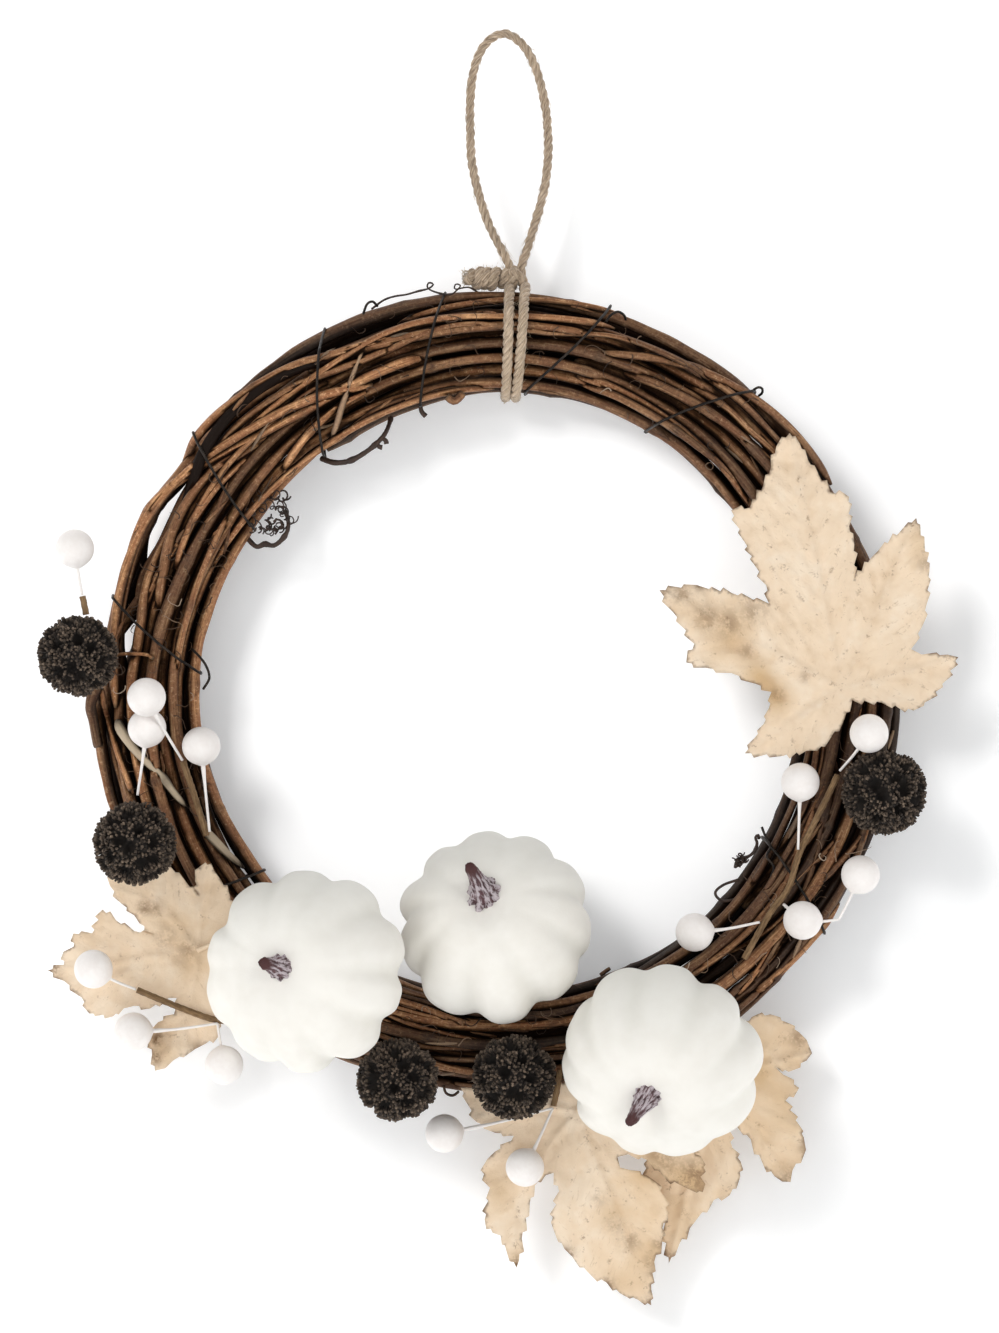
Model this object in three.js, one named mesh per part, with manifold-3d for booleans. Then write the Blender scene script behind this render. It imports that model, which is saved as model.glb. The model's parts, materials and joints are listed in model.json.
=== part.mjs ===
// A grapevine wreath that hangs by a jute loop, dressed with maple leaves, small pumpkins,
// pitted seed pods and white berries. Millimetres, Z up, the front faces -Y.
// The origin is the inside of the loop's top, where the nail is.
import * as THREE from "three";
import { mergeVertices } from "three/addons/utils/BufferGeometryUtils.js";
import Module from "manifold-3d";

const wasm = await Module();
wasm.setup();

// Driving sizes of the ring. Places on the wreath are given from the ring's centre.
const RING_BELOW_NAIL = 248.2;
const RING_RADIUS = [133.4, 131, 128, 130, 131.3, 132.2, 132.8, 133, 133.2, 133.5, 131.2, 131.7];
const RING_HALF_WIDTH = [20, 20, 19.4, 19.3, 18.7, 18.5, 19, 19.5, 20.2, 20.2, 21, 21.2];
const RING_HALF_DEPTH = 17.8;
const GAP = 0.3;

// Canes: turns of vine that lie side by side, and change places with their neighbours.
const CANE_THINNEST = 2.6;
const CANE_THICKEST = 3.5;
const CANE_SIDES = 5;
const CANE_PITCH = 6.35;
const SLICES = 30;
const CROSSING_SLICES = 5;
const MOST_TURNS_IN_A_CANE = 4;
const VINE_SEED = 11;

// Runner canes lie over the front: degrees clockwise from the top, and distance from the centre.
const RUNNERS = [
  {
    name: "vine_runner_left",
    radius: 2.3,
    path: [[268, 146], [288, 150], [300, 147.5], [315, 137], [328, 131], [338, 124]],
  },
  {
    name: "vine_runner_dark",
    radius: 2.6,
    path: [[298, 136], [309, 145.5], [320, 147], [331, 142.5], [343, 134]],
  },
  {
    name: "vine_runner_right",
    radius: 2,
    path: [[16, 132.5], [23, 138.5], [35, 144], [47, 147], [58, 146]],
  },
];
const RUNNER_STEP = 5;

// Binding wires: degrees clockwise of the middle, and how far the outer edge leads it.
const WIRE_RADIUS = 0.55;
const WIRES = [
  [11.5, 6], [34, 6.4], [123, 4], [236, 2.5], [279, 5.4], [306.7, 3.4], [328.3, 5.3], [347.7, 3.9],
];

// Jute twine.
const TWINE_RADIUS = 2;
const HITCH_X = [2.2, 6.6];
const KNOT = { x: [-15.8, -1.1], y: -4, z: 157.1, radius: 4.1, coils: 4 };
const LOOP_ROUTE = [
  [2.2, -4, 157], [1.9, -4, 162], [-0.4, -3.6, 167], [-5.8, -2.6, 177.7], [-10.3, -1.8, 191.9],
  [-12.3, -1.2, 203.1], [-12.8, -0.7, 215.3], [-12.6, -0.3, 227.4], [-10.9, 0, 238.6], [-6.8, 0, 246.6],
  [0, 0, 250.3], [6.8, 0, 246.4], [11.6, 0, 238.2], [15, -0.3, 226.5], [16.6, -0.7, 214.3],
  [16.6, -1.2, 202.1], [15.2, -1.8, 190.9], [11.6, -2.6, 177.7], [8.4, -3.6, 167], [6.7, -4, 162],
  [6.6, -4, 157],
];
const LOOP_STEPS = 26;

// Pumpkins: place, greatest radius, where the stem's pole points, and which way the stem leans.
const PUMPKINS = [
  {
    name: "pumpkin_middle",
    x: -3.4,
    z: -87,
    radius: 36.4,
    pole: [-0.17, -0.89, 0.42],
    lean: [-0.4, 0.2, 0.9],
    turn: 0.1,
  },
  {
    name: "pumpkin_left",
    x: -73,
    z: -101.3,
    radius: 37.2,
    pole: [-0.31, -0.94, 0.1],
    lean: [-0.9, -0.1, 0.25],
    turn: 0.35,
  },
  {
    name: "pumpkin_right",
    x: 57.8,
    z: -135.2,
    radius: 37.2,
    pole: [-0.2, -0.87, -0.46],
    lean: [-0.4, 0.1, -0.9],
    turn: 0.2,
  },
];
const PUMPKIN_FLATNESS = 0.84;
const PUMPKIN_LOBES = 10;
const LOBE_DEPTH = 0.1;
const STEM_RADIUS = 3.9;
const STEM_LENGTH = 20;
const STEM_LEAN = 5.5;
const STEM_FLARE_HEIGHT = 4.6;
const HOLE_DEPTH = 4;

// Seed pods: name, place and radius.
const PODS = [
  { name: "pod_left_upper", x: -158.6, z: 14.3, radius: 16 },
  { name: "pod_left_lower", x: -137.4, z: -55.1, radius: 16.4 },
  { name: "pod_right", x: 141.8, z: -35.8, radius: 17 },
  { name: "pod_bottom_left", x: -39.4, z: -143.5, radius: 16.2 },
  { name: "pod_bottom_right", x: 3.4, z: -142.7, radius: 16.8 },
];
const PIT_DEPTH = 0.13;

// Maple leaves. Each lobe lists its edge clockwise from the notch before it, from the point where
// the veins meet. A lobe's rib runs to its furthest point, past "bow" where it is curved.
const LEAF_THICKNESS = 0.8;
const STALK_RADIUS = 0.9;
const LEAVES = [
  {
    name: "leaf_bottom_back",
    at: [80.5, -143.8],
    fall: [-0.02, 0.1],
    stalk: [[0, 0, 0], [-4, -5, 9], [-8, -12.5, 24]],
    lobes: [
      { edge: [[5, 14], [13, 22], [20, 23], [26, 20], [31, 16], [34, 13], [36, 8], [34, 5], [27, 1]] },
      {
        edge: [[22, 3], [25, 0], [31, -5], [26, -10], [31, -19], [33, -24], [34, -29], [29, -37], [28, -41],
          [25, -41], [22, -39], [17, -33], [13, -25], [7, -19]],
      },
      {
        edge: [[4, -20], [6, -28], [9, -33], [9, -39], [5, -46], [-1, -48], [-7, -55], [-10, -59],
          [-14, -65], [-18, -72], [-20, -59], [-19, -55], [-20, -48], [-24, -43], [-28, -38]],
      },
      { edge: [[-24, -30], [-29, -23], [-34, -15], [-31, -8], [-24, -4]] },
    ],
  },
  {
    name: "leaf_bottom_front",
    at: [27.7, -157.2],
    fall: [0.03, 0.06],
    stalk: [[0, 0, 0], [2, -3, 10], [4, -6, 24]],
    lobes: [
      {
        edge: [[12, 4], [16, -6], [26, -10], [36, -12], [46, -16], [48, -22], [46, -24], [48, -27],
          [47, -30], [42, -29], [38, -27], [32, -24], [26, -18], [19, -16]],
      },
      {
        edge: [[15, -17], [16, -21], [20, -22], [26, -24], [29, -26], [32, -31], [34, -38], [32, -44],
          [32, -49], [29, -57], [28, -68], [28, -74], [23, -72], [16, -69], [11, -65], [4, -61], [-2, -55],
          [-5, -52], [-9, -45], [-10, -42], [-7, -30]],
      },
      {
        bow: [-26, -26],
        edge: [[-9, -23], [-12, -24], [-16, -28], [-18, -35], [-21, -48], [-22, -56], [-23, -59], [-27, -52],
          [-29, -47], [-32, -46], [-35, -41], [-33, -29], [-36, -26], [-34, -18], [-31, -15]],
      },
      {
        edge: [[-25, -11], [-24, -9], [-31, -8], [-38, -4], [-41, 2], [-44, 9], [-35, 10], [-25, 6],
          [-16, 8], [-8, 12]],
      },
    ],
  },
  {
    name: "leaf_left",
    at: [-114.6, -95.8],
    fall: [0.08, 0.02],
    stalk: [[0, 0, 0], [7, -2, 3], [15, -5, 6]],
    lobes: [
      { edge: [[0, 21], [-1, 26], [-1, 30], [3, 33], [6, 30], [9, 26], [12, 21]] },
      { edge: [[14, 14], [20, 8], [23, 2], [18, -7]] },
      {
        bow: [-2, -28],
        edge: [[9, -16], [8, -24], [8, -32], [3, -35], [-1, -37], [-9, -41], [-12, -44], [-16, -45],
          [-17, -39], [-18, -32], [-15, -27], [-9, -24]],
      },
      {
        edge: [[-8, -18], [-11, -18], [-18, -22], [-24, -21], [-28, -22], [-32, -25], [-41, -24], [-44, -18],
          [-51, -12], [-57, -8], [-51, -6], [-51, -1], [-47, 1], [-47, 6], [-40, 6], [-36, 15], [-31, 11],
          [-24, 7]],
      },
      {
        edge: [[-16, 6], [-22, 10], [-24, 13], [-28, 17], [-33, 24], [-33, 30], [-31, 39], [-25, 37],
          [-20, 33], [-14, 33], [-10, 31], [-4, 25]],
      },
    ],
  },
  {
    name: "leaf_right",
    at: [126.1, 1.9],
    fall: [0, 0],
    stalk: [[0, 0, 0], [3, -0.4, -6], [7, -0.2, -11]],
    lobes: [
      {
        edge: [[-27, 32], [-28, 39], [-32, 46], [-36, 55], [-41, 67], [-34, 68], [-29, 76], [-26, 83],
          [-24, 91], [-19, 96], [-15, 92], [-12, 86], [-8, 80], [-4, 74], [3, 72], [3, 61], [5, 54]],
      },
      { edge: [[5, 41], [11, 49], [14, 52], [22, 59], [28, 64], [31, 53], [33, 44], [32, 32], [30, 23]] },
      { edge: [[26, 15], [30, 13], [40, 13], [44, 12], [39, 3], [33, -4], [27, -8], [15, -5]] },
      {
        edge: [[4, -4], [1, -11], [-4, -18], [-9, -23], [-13, -23], [-22, -25], [-36, -24], [-32, -18],
          [-29, -13], [-27, -7]],
      },
      {
        edge: [[-26, -1], [-32, 2], [-41, 6], [-51, 8], [-58, 10], [-55, 17], [-63, 29], [-68, 37],
          [-54, 39], [-51, 38], [-41, 36]],
      },
    ],
  },
];
const RIB_STEPS = 4;

// Berry sprays: brown wrapped stems, and white bodies of one or more berries on wires that meet.
const BERRY_RADIUS = 7.2;
const BERRY_WIRE_RADIUS = 0.6;
const SPRAY_STEM_RADIUS = 1.15;
const SPRAYS = [
  {
    name: "spray_left_upper",
    standsOn: "pod_left_upper",
    stem: [[-155.5, 0, 29.7], [-156.2, 0, 33.2], [-156.9, 0, 36.6]],
    whites: [{ berries: [[-159.8, 0, 54.3]], meet: [-157, 0, 37] }],
  },
  { name: "spray_left_pod", whites: [{ berries: [[-133.3, 0, -12.6]], meet: [-136.6, -3, -37.6] }] },
  {
    name: "spray_left",
    stem: [[-120.2, -4, -25.2], [-116, -2, -38], [-111.6, 0, -53]],
    whites: [
      { berries: [[-132.5, -20, -1]], meet: [-120.4, -4.15, -24.7] },
      { berries: [[-113.1, -7, -19.3]], meet: [-110.4, -1.3, -51.5] },
    ],
  },
  {
    name: "spray_lower_left",
    underPumpkins: true,
    stem: [[-137, -2, -110.3], [-122, -1, -116.6], [-108.6, 0, -121.5], [-98, 0.5, -122.5]],
    whites: [
      { berries: [[-152.7, -8, -102.1]], meet: [-137.4, -2.15, -110.1] },
      { berries: [[-138.1, -6, -125.6], [-104.2, -6, -138]], meet: [-107, -1.5, -122.9] },
    ],
  },
  {
    name: "spray_bottom",
    underPumpkins: true,
    stem: [[18.6, 0, -154.6], [20, -0.5, -148], [21, -1, -141]],
    whites: [{ berries: [[-22.4, -2, -164.8], [7.8, -6, -177.1]], meet: [18.35, -0.05, -155.5] }],
  },
  {
    name: "spray_right",
    stem: [
      [124.3, -8, -30.1], [117.5, -3.5, -45], [110.8, 0, -59.2], [106.3, 0, -73], [99.6, 0, -82],
      [89.9, 0, -99.1],
    ],
    whites: [
      { berries: [[135.1, -19, -14.4]], meet: [125.1, -8.6, -28.4] },
      { berries: [[110.4, -8, -32.7]], meet: [110, -1.8, -58] },
      {
        berries: [[132.5, -12, -67], [111.2, -8.5, -84.2]],
        meet: [124.6, -9, -83.8],
        foot: [104.7, 0, -78.7],
      },
      { berries: [[71.3, -2, -89]], meet: [95.7, -1, -85.3] },
    ],
  },
];

// Tendrils: the angle at which each grows from the ring's inner or outer edge, and its path from
// there as steps along the ring, forwards, and away from the edge.
const TENDRIL_RADIUS = 0.75;
const TENDRILS = [
  {
    name: "tendril_inner_top",
    angle: 319,
    edge: -1,
    path: [[0, 0, 0], [3, -1, 4.5], [12, -2, 6.5], [19, -2, 4.5], [23, -1, 1]],
  },
  {
    name: "tendril_inner_left",
    angle: 308,
    edge: -1,
    path: [[0, 0, 0], [1, -1.5, 5], [5.5, -3, 10], [12, -4, 10.5], [15, -4, 6.5], [12, -4, 3.5]],
  },
  {
    name: "tendril_outer_top",
    angle: 343,
    edge: 1,
    path: [[0, 0, 0], [1, -0.5, 2], [6, -1, 3], [13, -2, 2.2], [19, -2, 3.4], [22, -1, 2]],
  },
  {
    name: "tendril_inner_right",
    angle: 121,
    edge: -1,
    path: [[0, 0, 0], [2, -1, 3.5], [7, -2, 6], [11, -2.5, 2.5], [8, -3.5, 1.6]],
  },
];

const COLOURS = {
  cane: 0x7b573c,
  runner: 0x8a6240,
  wire: 0x1d1916,
  jute: 0xb7a07f,
  pumpkin: 0xefece2,
  stem: 0x5b464c,
  pod: 0x3c332d,
  leaf: 0xeed7b6,
  berry: 0xf6f1ee,
  sprayStem: 0x84613c,
};

const DEGREE = Math.PI / 180;
const TURN = 2 * Math.PI;

function seededRandom(seed) {
  let state = seed;
  return () => {
    state = (state + 0x6d2b79f5) | 0;
    let t = Math.imul(state ^ (state >>> 15), 1 | state);
    t = (t + Math.imul(t ^ (t >>> 7), 61 | t)) ^ t;
    return ((t ^ (t >>> 14)) >>> 0) / 4294967296;
  };
}

const smoothstep = (t) => t * t * (3 - 2 * t);

// A value that goes smoothly through a list of values spread evenly round the ring.
function aroundRing(values, angle) {
  const place = ((((angle / TURN) % 1) + 1) % 1) * values.length;
  const i = Math.floor(place);
  const [here, next] = [values[i % values.length], values[(i + 1) % values.length]];
  return THREE.MathUtils.lerp(here, next, smoothstep(place - i));
}

// The point at an angle clockwise from the top, a distance from the ring's centre, and a depth.
const onRing = (angle, distance, depth) =>
  new THREE.Vector3(distance * Math.sin(angle), depth, distance * Math.cos(angle));

// Closed surfaces
function closedGeometry(points, triangles) {
  const geometry = new THREE.BufferGeometry();
  const positions = points.flatMap((p) => [p.x, p.y, p.z]);
  geometry.setAttribute("position", new THREE.Float32BufferAttribute(positions, 3));
  geometry.setIndex(triangles.flat());
  return geometry;
}

// A skin over rings of points, closed by a fan at each end or joined end to end.
function skin(rings, endless = false) {
  const sides = rings[0].length;
  const points = rings.flat();
  const triangles = [];
  const bands = endless ? rings.length : rings.length - 1;
  for (let i = 0; i < bands; i++) {
    for (let k = 0; k < sides; k++) {
      const a = i * sides + k;
      const b = i * sides + ((k + 1) % sides);
      const c = ((i + 1) % rings.length) * sides + ((k + 1) % sides);
      const d = ((i + 1) % rings.length) * sides + k;
      triangles.push([a, b, c], [a, c, d]);
    }
  }
  if (!endless) {
    for (const [ring, flip] of [[0, true], [rings.length - 1, false]]) {
      const middle = new THREE.Vector3();
      rings[ring].forEach((p) => middle.addScaledVector(p, 1 / sides));
      points.push(middle);
      for (let k = 0; k < sides; k++) {
        const a = ring * sides + k;
        const b = ring * sides + ((k + 1) % sides);
        triangles.push(flip ? [points.length - 1, b, a] : [points.length - 1, a, b]);
      }
    }
  }
  return facingOut(points, triangles);
}

// The same closed surface with its faces turned outwards.
function facingOut(points, triangles) {
  const volume = triangles.reduce((sum, [a, b, c]) => {
    const cross = new THREE.Vector3().crossVectors(points[b], points[c]);
    return sum + points[a].dot(cross);
  }, 0);
  return closedGeometry(points, volume < 0 ? triangles.map(([a, b, c]) => [a, c, b]) : triangles);
}

function welded(geometry) {
  const bare = geometry.clone();
  bare.deleteAttribute("normal");
  bare.deleteAttribute("uv");
  return mergeVertices(bare, 1e-4);
}

// Several closed surfaces joined into one body.
function fused(geometries) {
  const solids = geometries.map((geometry) => {
    const clean = welded(geometry);
    return new wasm.Manifold(
      new wasm.Mesh({
        numProp: 3,
        vertProperties: clean.attributes.position.array,
        triVerts: new Uint32Array(clean.index.array),
      }),
    );
  });
  const whole = solids.reduce((sum, solid) => sum.add(solid)).getMesh();
  const geometry = new THREE.BufferGeometry();
  const positions = new Float32Array(whole.numVert * 3);
  for (let i = 0; i < whole.numVert; i++) {
    positions.set(whole.vertProperties.subarray(i * whole.numProp, i * whole.numProp + 3), i * 3);
  }
  geometry.setAttribute("position", new THREE.BufferAttribute(positions, 3));
  geometry.setIndex(new THREE.BufferAttribute(new Uint32Array(whole.triVerts), 1));
  return geometry;
}

// A round cord or stem along a smooth curve through points.
function cordGeometry(route, radius, sides, steps) {
  const section = new THREE.Shape();
  for (let k = 0; k < sides; k++) {
    const angle = (k / sides) * TURN;
    section[k ? "lineTo" : "moveTo"](radius * Math.cos(angle), radius * Math.sin(angle));
  }
  section.closePath();
  const curve = new THREE.CatmullRomCurve3(route.map((p) => new THREE.Vector3(...p)), false, "centripetal");
  return welded(new THREE.ExtrudeGeometry(section, { steps, extrudePath: curve, bevelEnabled: false }));
}

// How far forward each spot of the wreath already reaches, so that the next piece can be laid on it.
class FrontMap {
  constructor() {
    this.cell = 0.5;
    this.half = 250;
    this.across = Math.round((2 * this.half) / this.cell);
    this.front = new Float32Array(this.across * this.across).fill(Infinity);
  }

  // Calls back for each cell that a surface covers, with its depth there.
  cover(geometry, report) {
    const p = geometry.attributes.position;
    const index = geometry.index;
    const [a, b, c] = [new THREE.Vector3(), new THREE.Vector3(), new THREE.Vector3()];
    for (let i = 0; i < index.count; i += 3) {
      a.fromBufferAttribute(p, index.getX(i));
      b.fromBufferAttribute(p, index.getX(i + 1));
      c.fromBufferAttribute(p, index.getX(i + 2));
      const area = (b.x - a.x) * (c.z - a.z) - (c.x - a.x) * (b.z - a.z);
      if (Math.abs(area) < 1e-9) continue;
      const toCell = (v) => (v + this.half) / this.cell;
      const cellsOf = (...v) => [Math.ceil(toCell(Math.min(...v))), Math.floor(toCell(Math.max(...v)))];
      const columns = cellsOf(a.x, b.x, c.x);
      const rows = cellsOf(a.z, b.z, c.z);
      for (let row = rows[0]; row <= rows[1]; row++) {
        for (let column = columns[0]; column <= columns[1]; column++) {
          const x = column * this.cell - this.half;
          const z = row * this.cell - this.half;
          const s = ((x - a.x) * (c.z - a.z) - (c.x - a.x) * (z - a.z)) / area;
          const t = ((b.x - a.x) * (z - a.z) - (x - a.x) * (b.z - a.z)) / area;
          if (s >= 0 && t >= 0 && s + t <= 1) {
            report(row * this.across + column, a.y + s * (b.y - a.y) + t * (c.y - a.y));
          }
        }
      }
    }
  }

  add(geometry) {
    this.cover(geometry, (cell, y) => {
      this.front[cell] = Math.min(this.front[cell], y);
    });
  }

  // The furthest forward reach in the cells round one.
  reach(cell) {
    let reach = Infinity;
    for (const row of [-this.across, 0, this.across]) {
      for (const column of [-1, 0, 1]) {
        reach = Math.min(reach, this.front[cell + row + column]);
      }
    }
    return reach;
  }

  // Moves geometries together towards the back until one of them all but touches what is there.
  lay(geometries) {
    let move = Infinity;
    for (const geometry of geometries) {
      this.cover(geometry, (cell, y) => {
        move = Math.min(move, this.reach(cell) - GAP - y);
      });
    }
    for (const geometry of geometries) {
      geometry.translate(0, move, 0);
    }
    for (const geometry of geometries) {
      this.add(geometry);
    }
    return move;
  }
}

// The vine ring
function honeycombPlaces() {
  const rowPitch = (CANE_PITCH * Math.sqrt(3)) / 2;
  const reach = [RING_HALF_WIDTH[0] - CANE_THINNEST, RING_HALF_DEPTH - CANE_THINNEST];
  const places = [];
  for (let row = -4; row <= 4; row++) {
    for (let column = -5; column <= 5; column++) {
      const place = [(column + (row & 1) / 2) * CANE_PITCH, row * rowPitch];
      if (Math.hypot(place[0] / reach[0], place[1] / reach[1]) <= 1) {
        places.push(place);
      }
    }
  }
  return places;
}

// Each turn starts the circle at its own place and ends it at the place that its crossings lead to.
function turnsWithCrossings(places, random) {
  const placeOf = places.map((_, turn) => turn);
  const busyUntil = places.map(() => 0);
  const turns = places.map(() => []);
  let crossings = [];
  for (let slice = 0; slice <= SLICES; slice++) {
    for (const crossing of crossings.filter((c) => c.end === slice)) {
      const [a, b] = crossing.pair;
      [placeOf[a], placeOf[b]] = [placeOf[b], placeOf[a]];
    }
    crossings = crossings.filter((c) => c.end > slice);
    if (slice + CROSSING_SLICES <= SLICES) {
      const free = placeOf.map((_, turn) => turn).filter((turn) => busyUntil[turn] <= slice);
      const pairs = free.flatMap((a) => free.filter((b) => b > a).map((b) => [a, b])).filter(([a, b]) => {
        const [p, q] = [places[placeOf[a]], places[placeOf[b]]];
        return Math.hypot(p[0] - q[0], p[1] - q[1]) < 1.1 * CANE_PITCH;
      });
      if (pairs.length) {
        const pair = pairs[Math.floor(random() * pairs.length)];
        const end = slice + CROSSING_SLICES;
        crossings.push({ pair, end, way: random() < 0.5 ? 1 : -1 });
        pair.forEach((turn) => (busyUntil[turn] = end));
      }
    }
    places.forEach((_, turn) => {
      const crossing = crossings.find((c) => c.pair.includes(turn));
      const home = places[placeOf[turn]];
      if (!crossing) {
        turns[turn].push([...home]);
        return;
      }
      const other = places[placeOf[crossing.pair.find((t) => t !== turn)]];
      const swing = crossing.way * Math.PI * smoothstep(1 - (crossing.end - slice) / CROSSING_SLICES);
      const middle = [(home[0] + other[0]) / 2, (home[1] + other[1]) / 2];
      const arm = [home[0] - middle[0], home[1] - middle[1]];
      turns[turn].push([
        middle[0] + arm[0] * Math.cos(swing) - arm[1] * Math.sin(swing),
        middle[1] + arm[0] * Math.sin(swing) + arm[1] * Math.cos(swing),
      ]);
    });
  }
  return { turns, next: placeOf };
}

// The turns joined end to end and cut into canes, as lists of knots in the order they are wound.
function canesFrom(next, random) {
  const seen = new Set();
  const canes = [];
  next.forEach((_, first) => {
    if (seen.has(first)) return;
    const round = [];
    for (let turn = first; !seen.has(turn); turn = next[turn]) {
      seen.add(turn);
      round.push(turn);
    }
    const knotsOf = (turn) => Array.from({ length: SLICES }, (_, slice) => turn * SLICES + slice);
    const knots = round.flatMap(knotsOf);
    const pieces = Math.ceil(round.length / MOST_TURNS_IN_A_CANE);
    const start = Math.floor(random() * knots.length);
    const wound = [...knots.slice(start), ...knots.slice(0, start)];
    for (let piece = 0; piece < pieces; piece++) {
      const from = Math.round((piece * knots.length) / pieces);
      const to = Math.round(((piece + 1) * knots.length) / pieces);
      const radius = THREE.MathUtils.lerp(CANE_THINNEST, CANE_THICKEST, random());
      canes.push({ knots: wound.slice(from, to), radius });
    }
  });
  return canes;
}

// Moves the turns apart until no two touch, while each stays smooth and inside the bundle.
function settle(position, follower, radius) {
  const turnCount = position.length / SLICES;
  const before = [];
  follower.forEach((after, knot) => (before[after] = knot));
  const rest = position.map((p) => [...p]);

  const part = (a, b, apart) => {
    const across = [0, 1].map((k) => mean(b, k) - mean(a, k));
    const distance = Math.hypot(...across) || 1e-6;
    const push = (apart - distance) / 2;
    if (push <= 0) return;
    [0, 1].forEach((k) => {
      const move = (across[k] / distance) * push;
      a.forEach((knot) => (position[knot][k] -= move));
      b.forEach((knot) => (position[knot][k] += move));
    });
  };
  const mean = (knots, k) => knots.reduce((sum, knot) => sum + position[knot][k], 0) / knots.length;

  const rounds = 160;
  const lastRounds = 60;
  for (let round = 0; round < rounds + lastRounds; round++) {
    if (round < rounds) {
      position.forEach((p, knot) => {
        const slice = knot % SLICES;
        const halfWidth = aroundRing(RING_HALF_WIDTH, (slice / SLICES) * TURN) - radius[knot];
        [0, 1].forEach((k) => {
          const between = (position[before[knot]][k] + position[follower[knot]][k]) / 2;
          p[k] += 0.25 * (between - p[k]) + 0.04 * (rest[knot][k] - p[k]);
        });
        const outside = Math.hypot(p[0] / halfWidth, p[1] / (RING_HALF_DEPTH - radius[knot]));
        if (outside > 1) {
          p[0] /= outside;
          p[1] /= outside;
        }
      });
    }
    for (let slice = 0; slice < SLICES; slice++) {
      for (let a = 0; a < turnCount; a++) {
        for (let b = a + 1; b < turnCount; b++) {
          const [p, q] = [a * SLICES + slice, b * SLICES + slice];
          const apart = radius[p] + radius[q] + 1.1 * GAP;
          part([p], [q], apart);
          part([p, follower[p]], [q, follower[q]], apart);
        }
      }
    }
  }
}

// Strands are lists of points along the ring, each with its angle, distance, depth and radius.
function woundCanes() {
  const random = seededRandom(VINE_SEED);
  const places = honeycombPlaces();
  const { turns, next } = turnsWithCrossings(places, random);
  const canes = canesFrom(next, random);
  const position = turns.flatMap((turn) => turn.slice(0, SLICES));
  const follower = position.map((_, knot) => {
    const turn = Math.floor(knot / SLICES);
    return knot % SLICES === SLICES - 1 ? next[turn] * SLICES : knot + 1;
  });
  const radius = [];
  canes.forEach((cane) => cane.knots.forEach((knot) => (radius[knot] = cane.radius)));
  settle(position, follower, radius);
  return canes.map((cane) => {
    let angle = 0;
    return cane.knots.slice(0, -1).map((knot, i) => {
      const own = ((knot % SLICES) / SLICES) * TURN;
      angle = i ? angle + TURN / SLICES : own;
      return {
        angle,
        distance: aroundRing(RING_RADIUS, own) + position[knot][0],
        depth: position[knot][1],
        radius: cane.radius,
      };
    });
  });
}

function strandGeometry(strand) {
  const rings = strand.map(({ angle, distance, depth, radius }) =>
    Array.from({ length: CANE_SIDES }, (_, k) => {
      const round = (k / CANE_SIDES) * TURN;
      return onRing(angle, distance + radius * Math.cos(round), depth + radius * Math.sin(round));
    }),
  );
  return skin(rings);
}

// Where the strands cross the half plane at an angle.
function crossingsAt(strands, angle) {
  const found = [];
  for (const strand of strands) {
    for (let i = 1; i < strand.length; i++) {
      const [a, b] = [strand[i - 1], strand[i]];
      const behind = ((((angle - a.angle) % TURN) + TURN) % TURN) / (b.angle - a.angle);
      if (behind > 1) continue;
      const step = b.angle - a.angle;
      const chord =
        (a.distance * b.distance * Math.sin(step)) /
        (a.distance * Math.sin(behind * step) + b.distance * Math.sin((1 - behind) * step));
      found.push({
        distance: chord,
        depth: THREE.MathUtils.lerp(a.depth, b.depth, behind),
        radius: a.radius,
      });
    }
  }
  return found;
}

// A springy cane laid over the front of the others: it bridges the hollows between them.
function runnerStrand({ path, radius }, strands) {
  const [first, last] = [path[0][0], path[path.length - 1][0]];
  const places = path.map(([angle, distance]) => new THREE.Vector3(angle, distance, 0));
  const curve = new THREE.CatmullRomCurve3(places);
  const steps = Math.round((last - first) / RUNNER_STEP);
  const strand = curve.getPoints(steps).map((p) => {
    const angle = p.x * DEGREE;
    let support = 0;
    for (const near of [-1, -0.5, 0, 0.5, 1]) {
      for (const cane of crossingsAt(strands, angle + (near * RUNNER_STEP * DEGREE) / 2)) {
        const reach = cane.radius + radius + 1.5 * GAP;
        const aside = Math.abs(cane.distance - p.y);
        if (aside < reach) {
          support = Math.min(support, cane.depth - Math.sqrt(reach * reach - aside * aside));
        }
      }
    }
    return { angle, distance: p.y, depth: support, radius };
  });
  for (let round = 0; round < 60; round++) {
    for (let i = 1; i < strand.length - 1; i++) {
      const between = (strand[i - 1].depth + strand[i + 1].depth) / 2;
      strand[i].depth = Math.min(strand[i].depth, between);
    }
  }
  return strand;
}

// The taut path of a thin round thing tied round the bundle: the hull of the canes it crosses.
function tiedPath(strands, radius, angleAt) {
  const corners = 7;
  const steps = 25;
  const centre = aroundRing(RING_RADIUS, angleAt(0));
  const spots = [];
  for (let i = -steps; i <= steps; i++) {
    const aside = (1.25 * i) / steps;
    const near = [-DEGREE, 0, DEGREE].flatMap((offset) => crossingsAt(strands, angleAt(aside) + offset));
    for (const cane of near) {
      const own = (cane.distance - centre) / RING_HALF_WIDTH[0];
      if (Math.abs(own - aside) > 1.25 / steps) continue;
      const reach = (cane.radius + radius + 1.5 * GAP) / Math.cos(Math.PI / corners);
      for (let k = 0; k < corners; k++) {
        const round = ((k + 0.5) / corners) * TURN;
        spots.push([cane.distance + reach * Math.cos(round), cane.depth + reach * Math.sin(round)]);
      }
    }
  }
  return thinned(convexHull(spots), 1.2);
}

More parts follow.
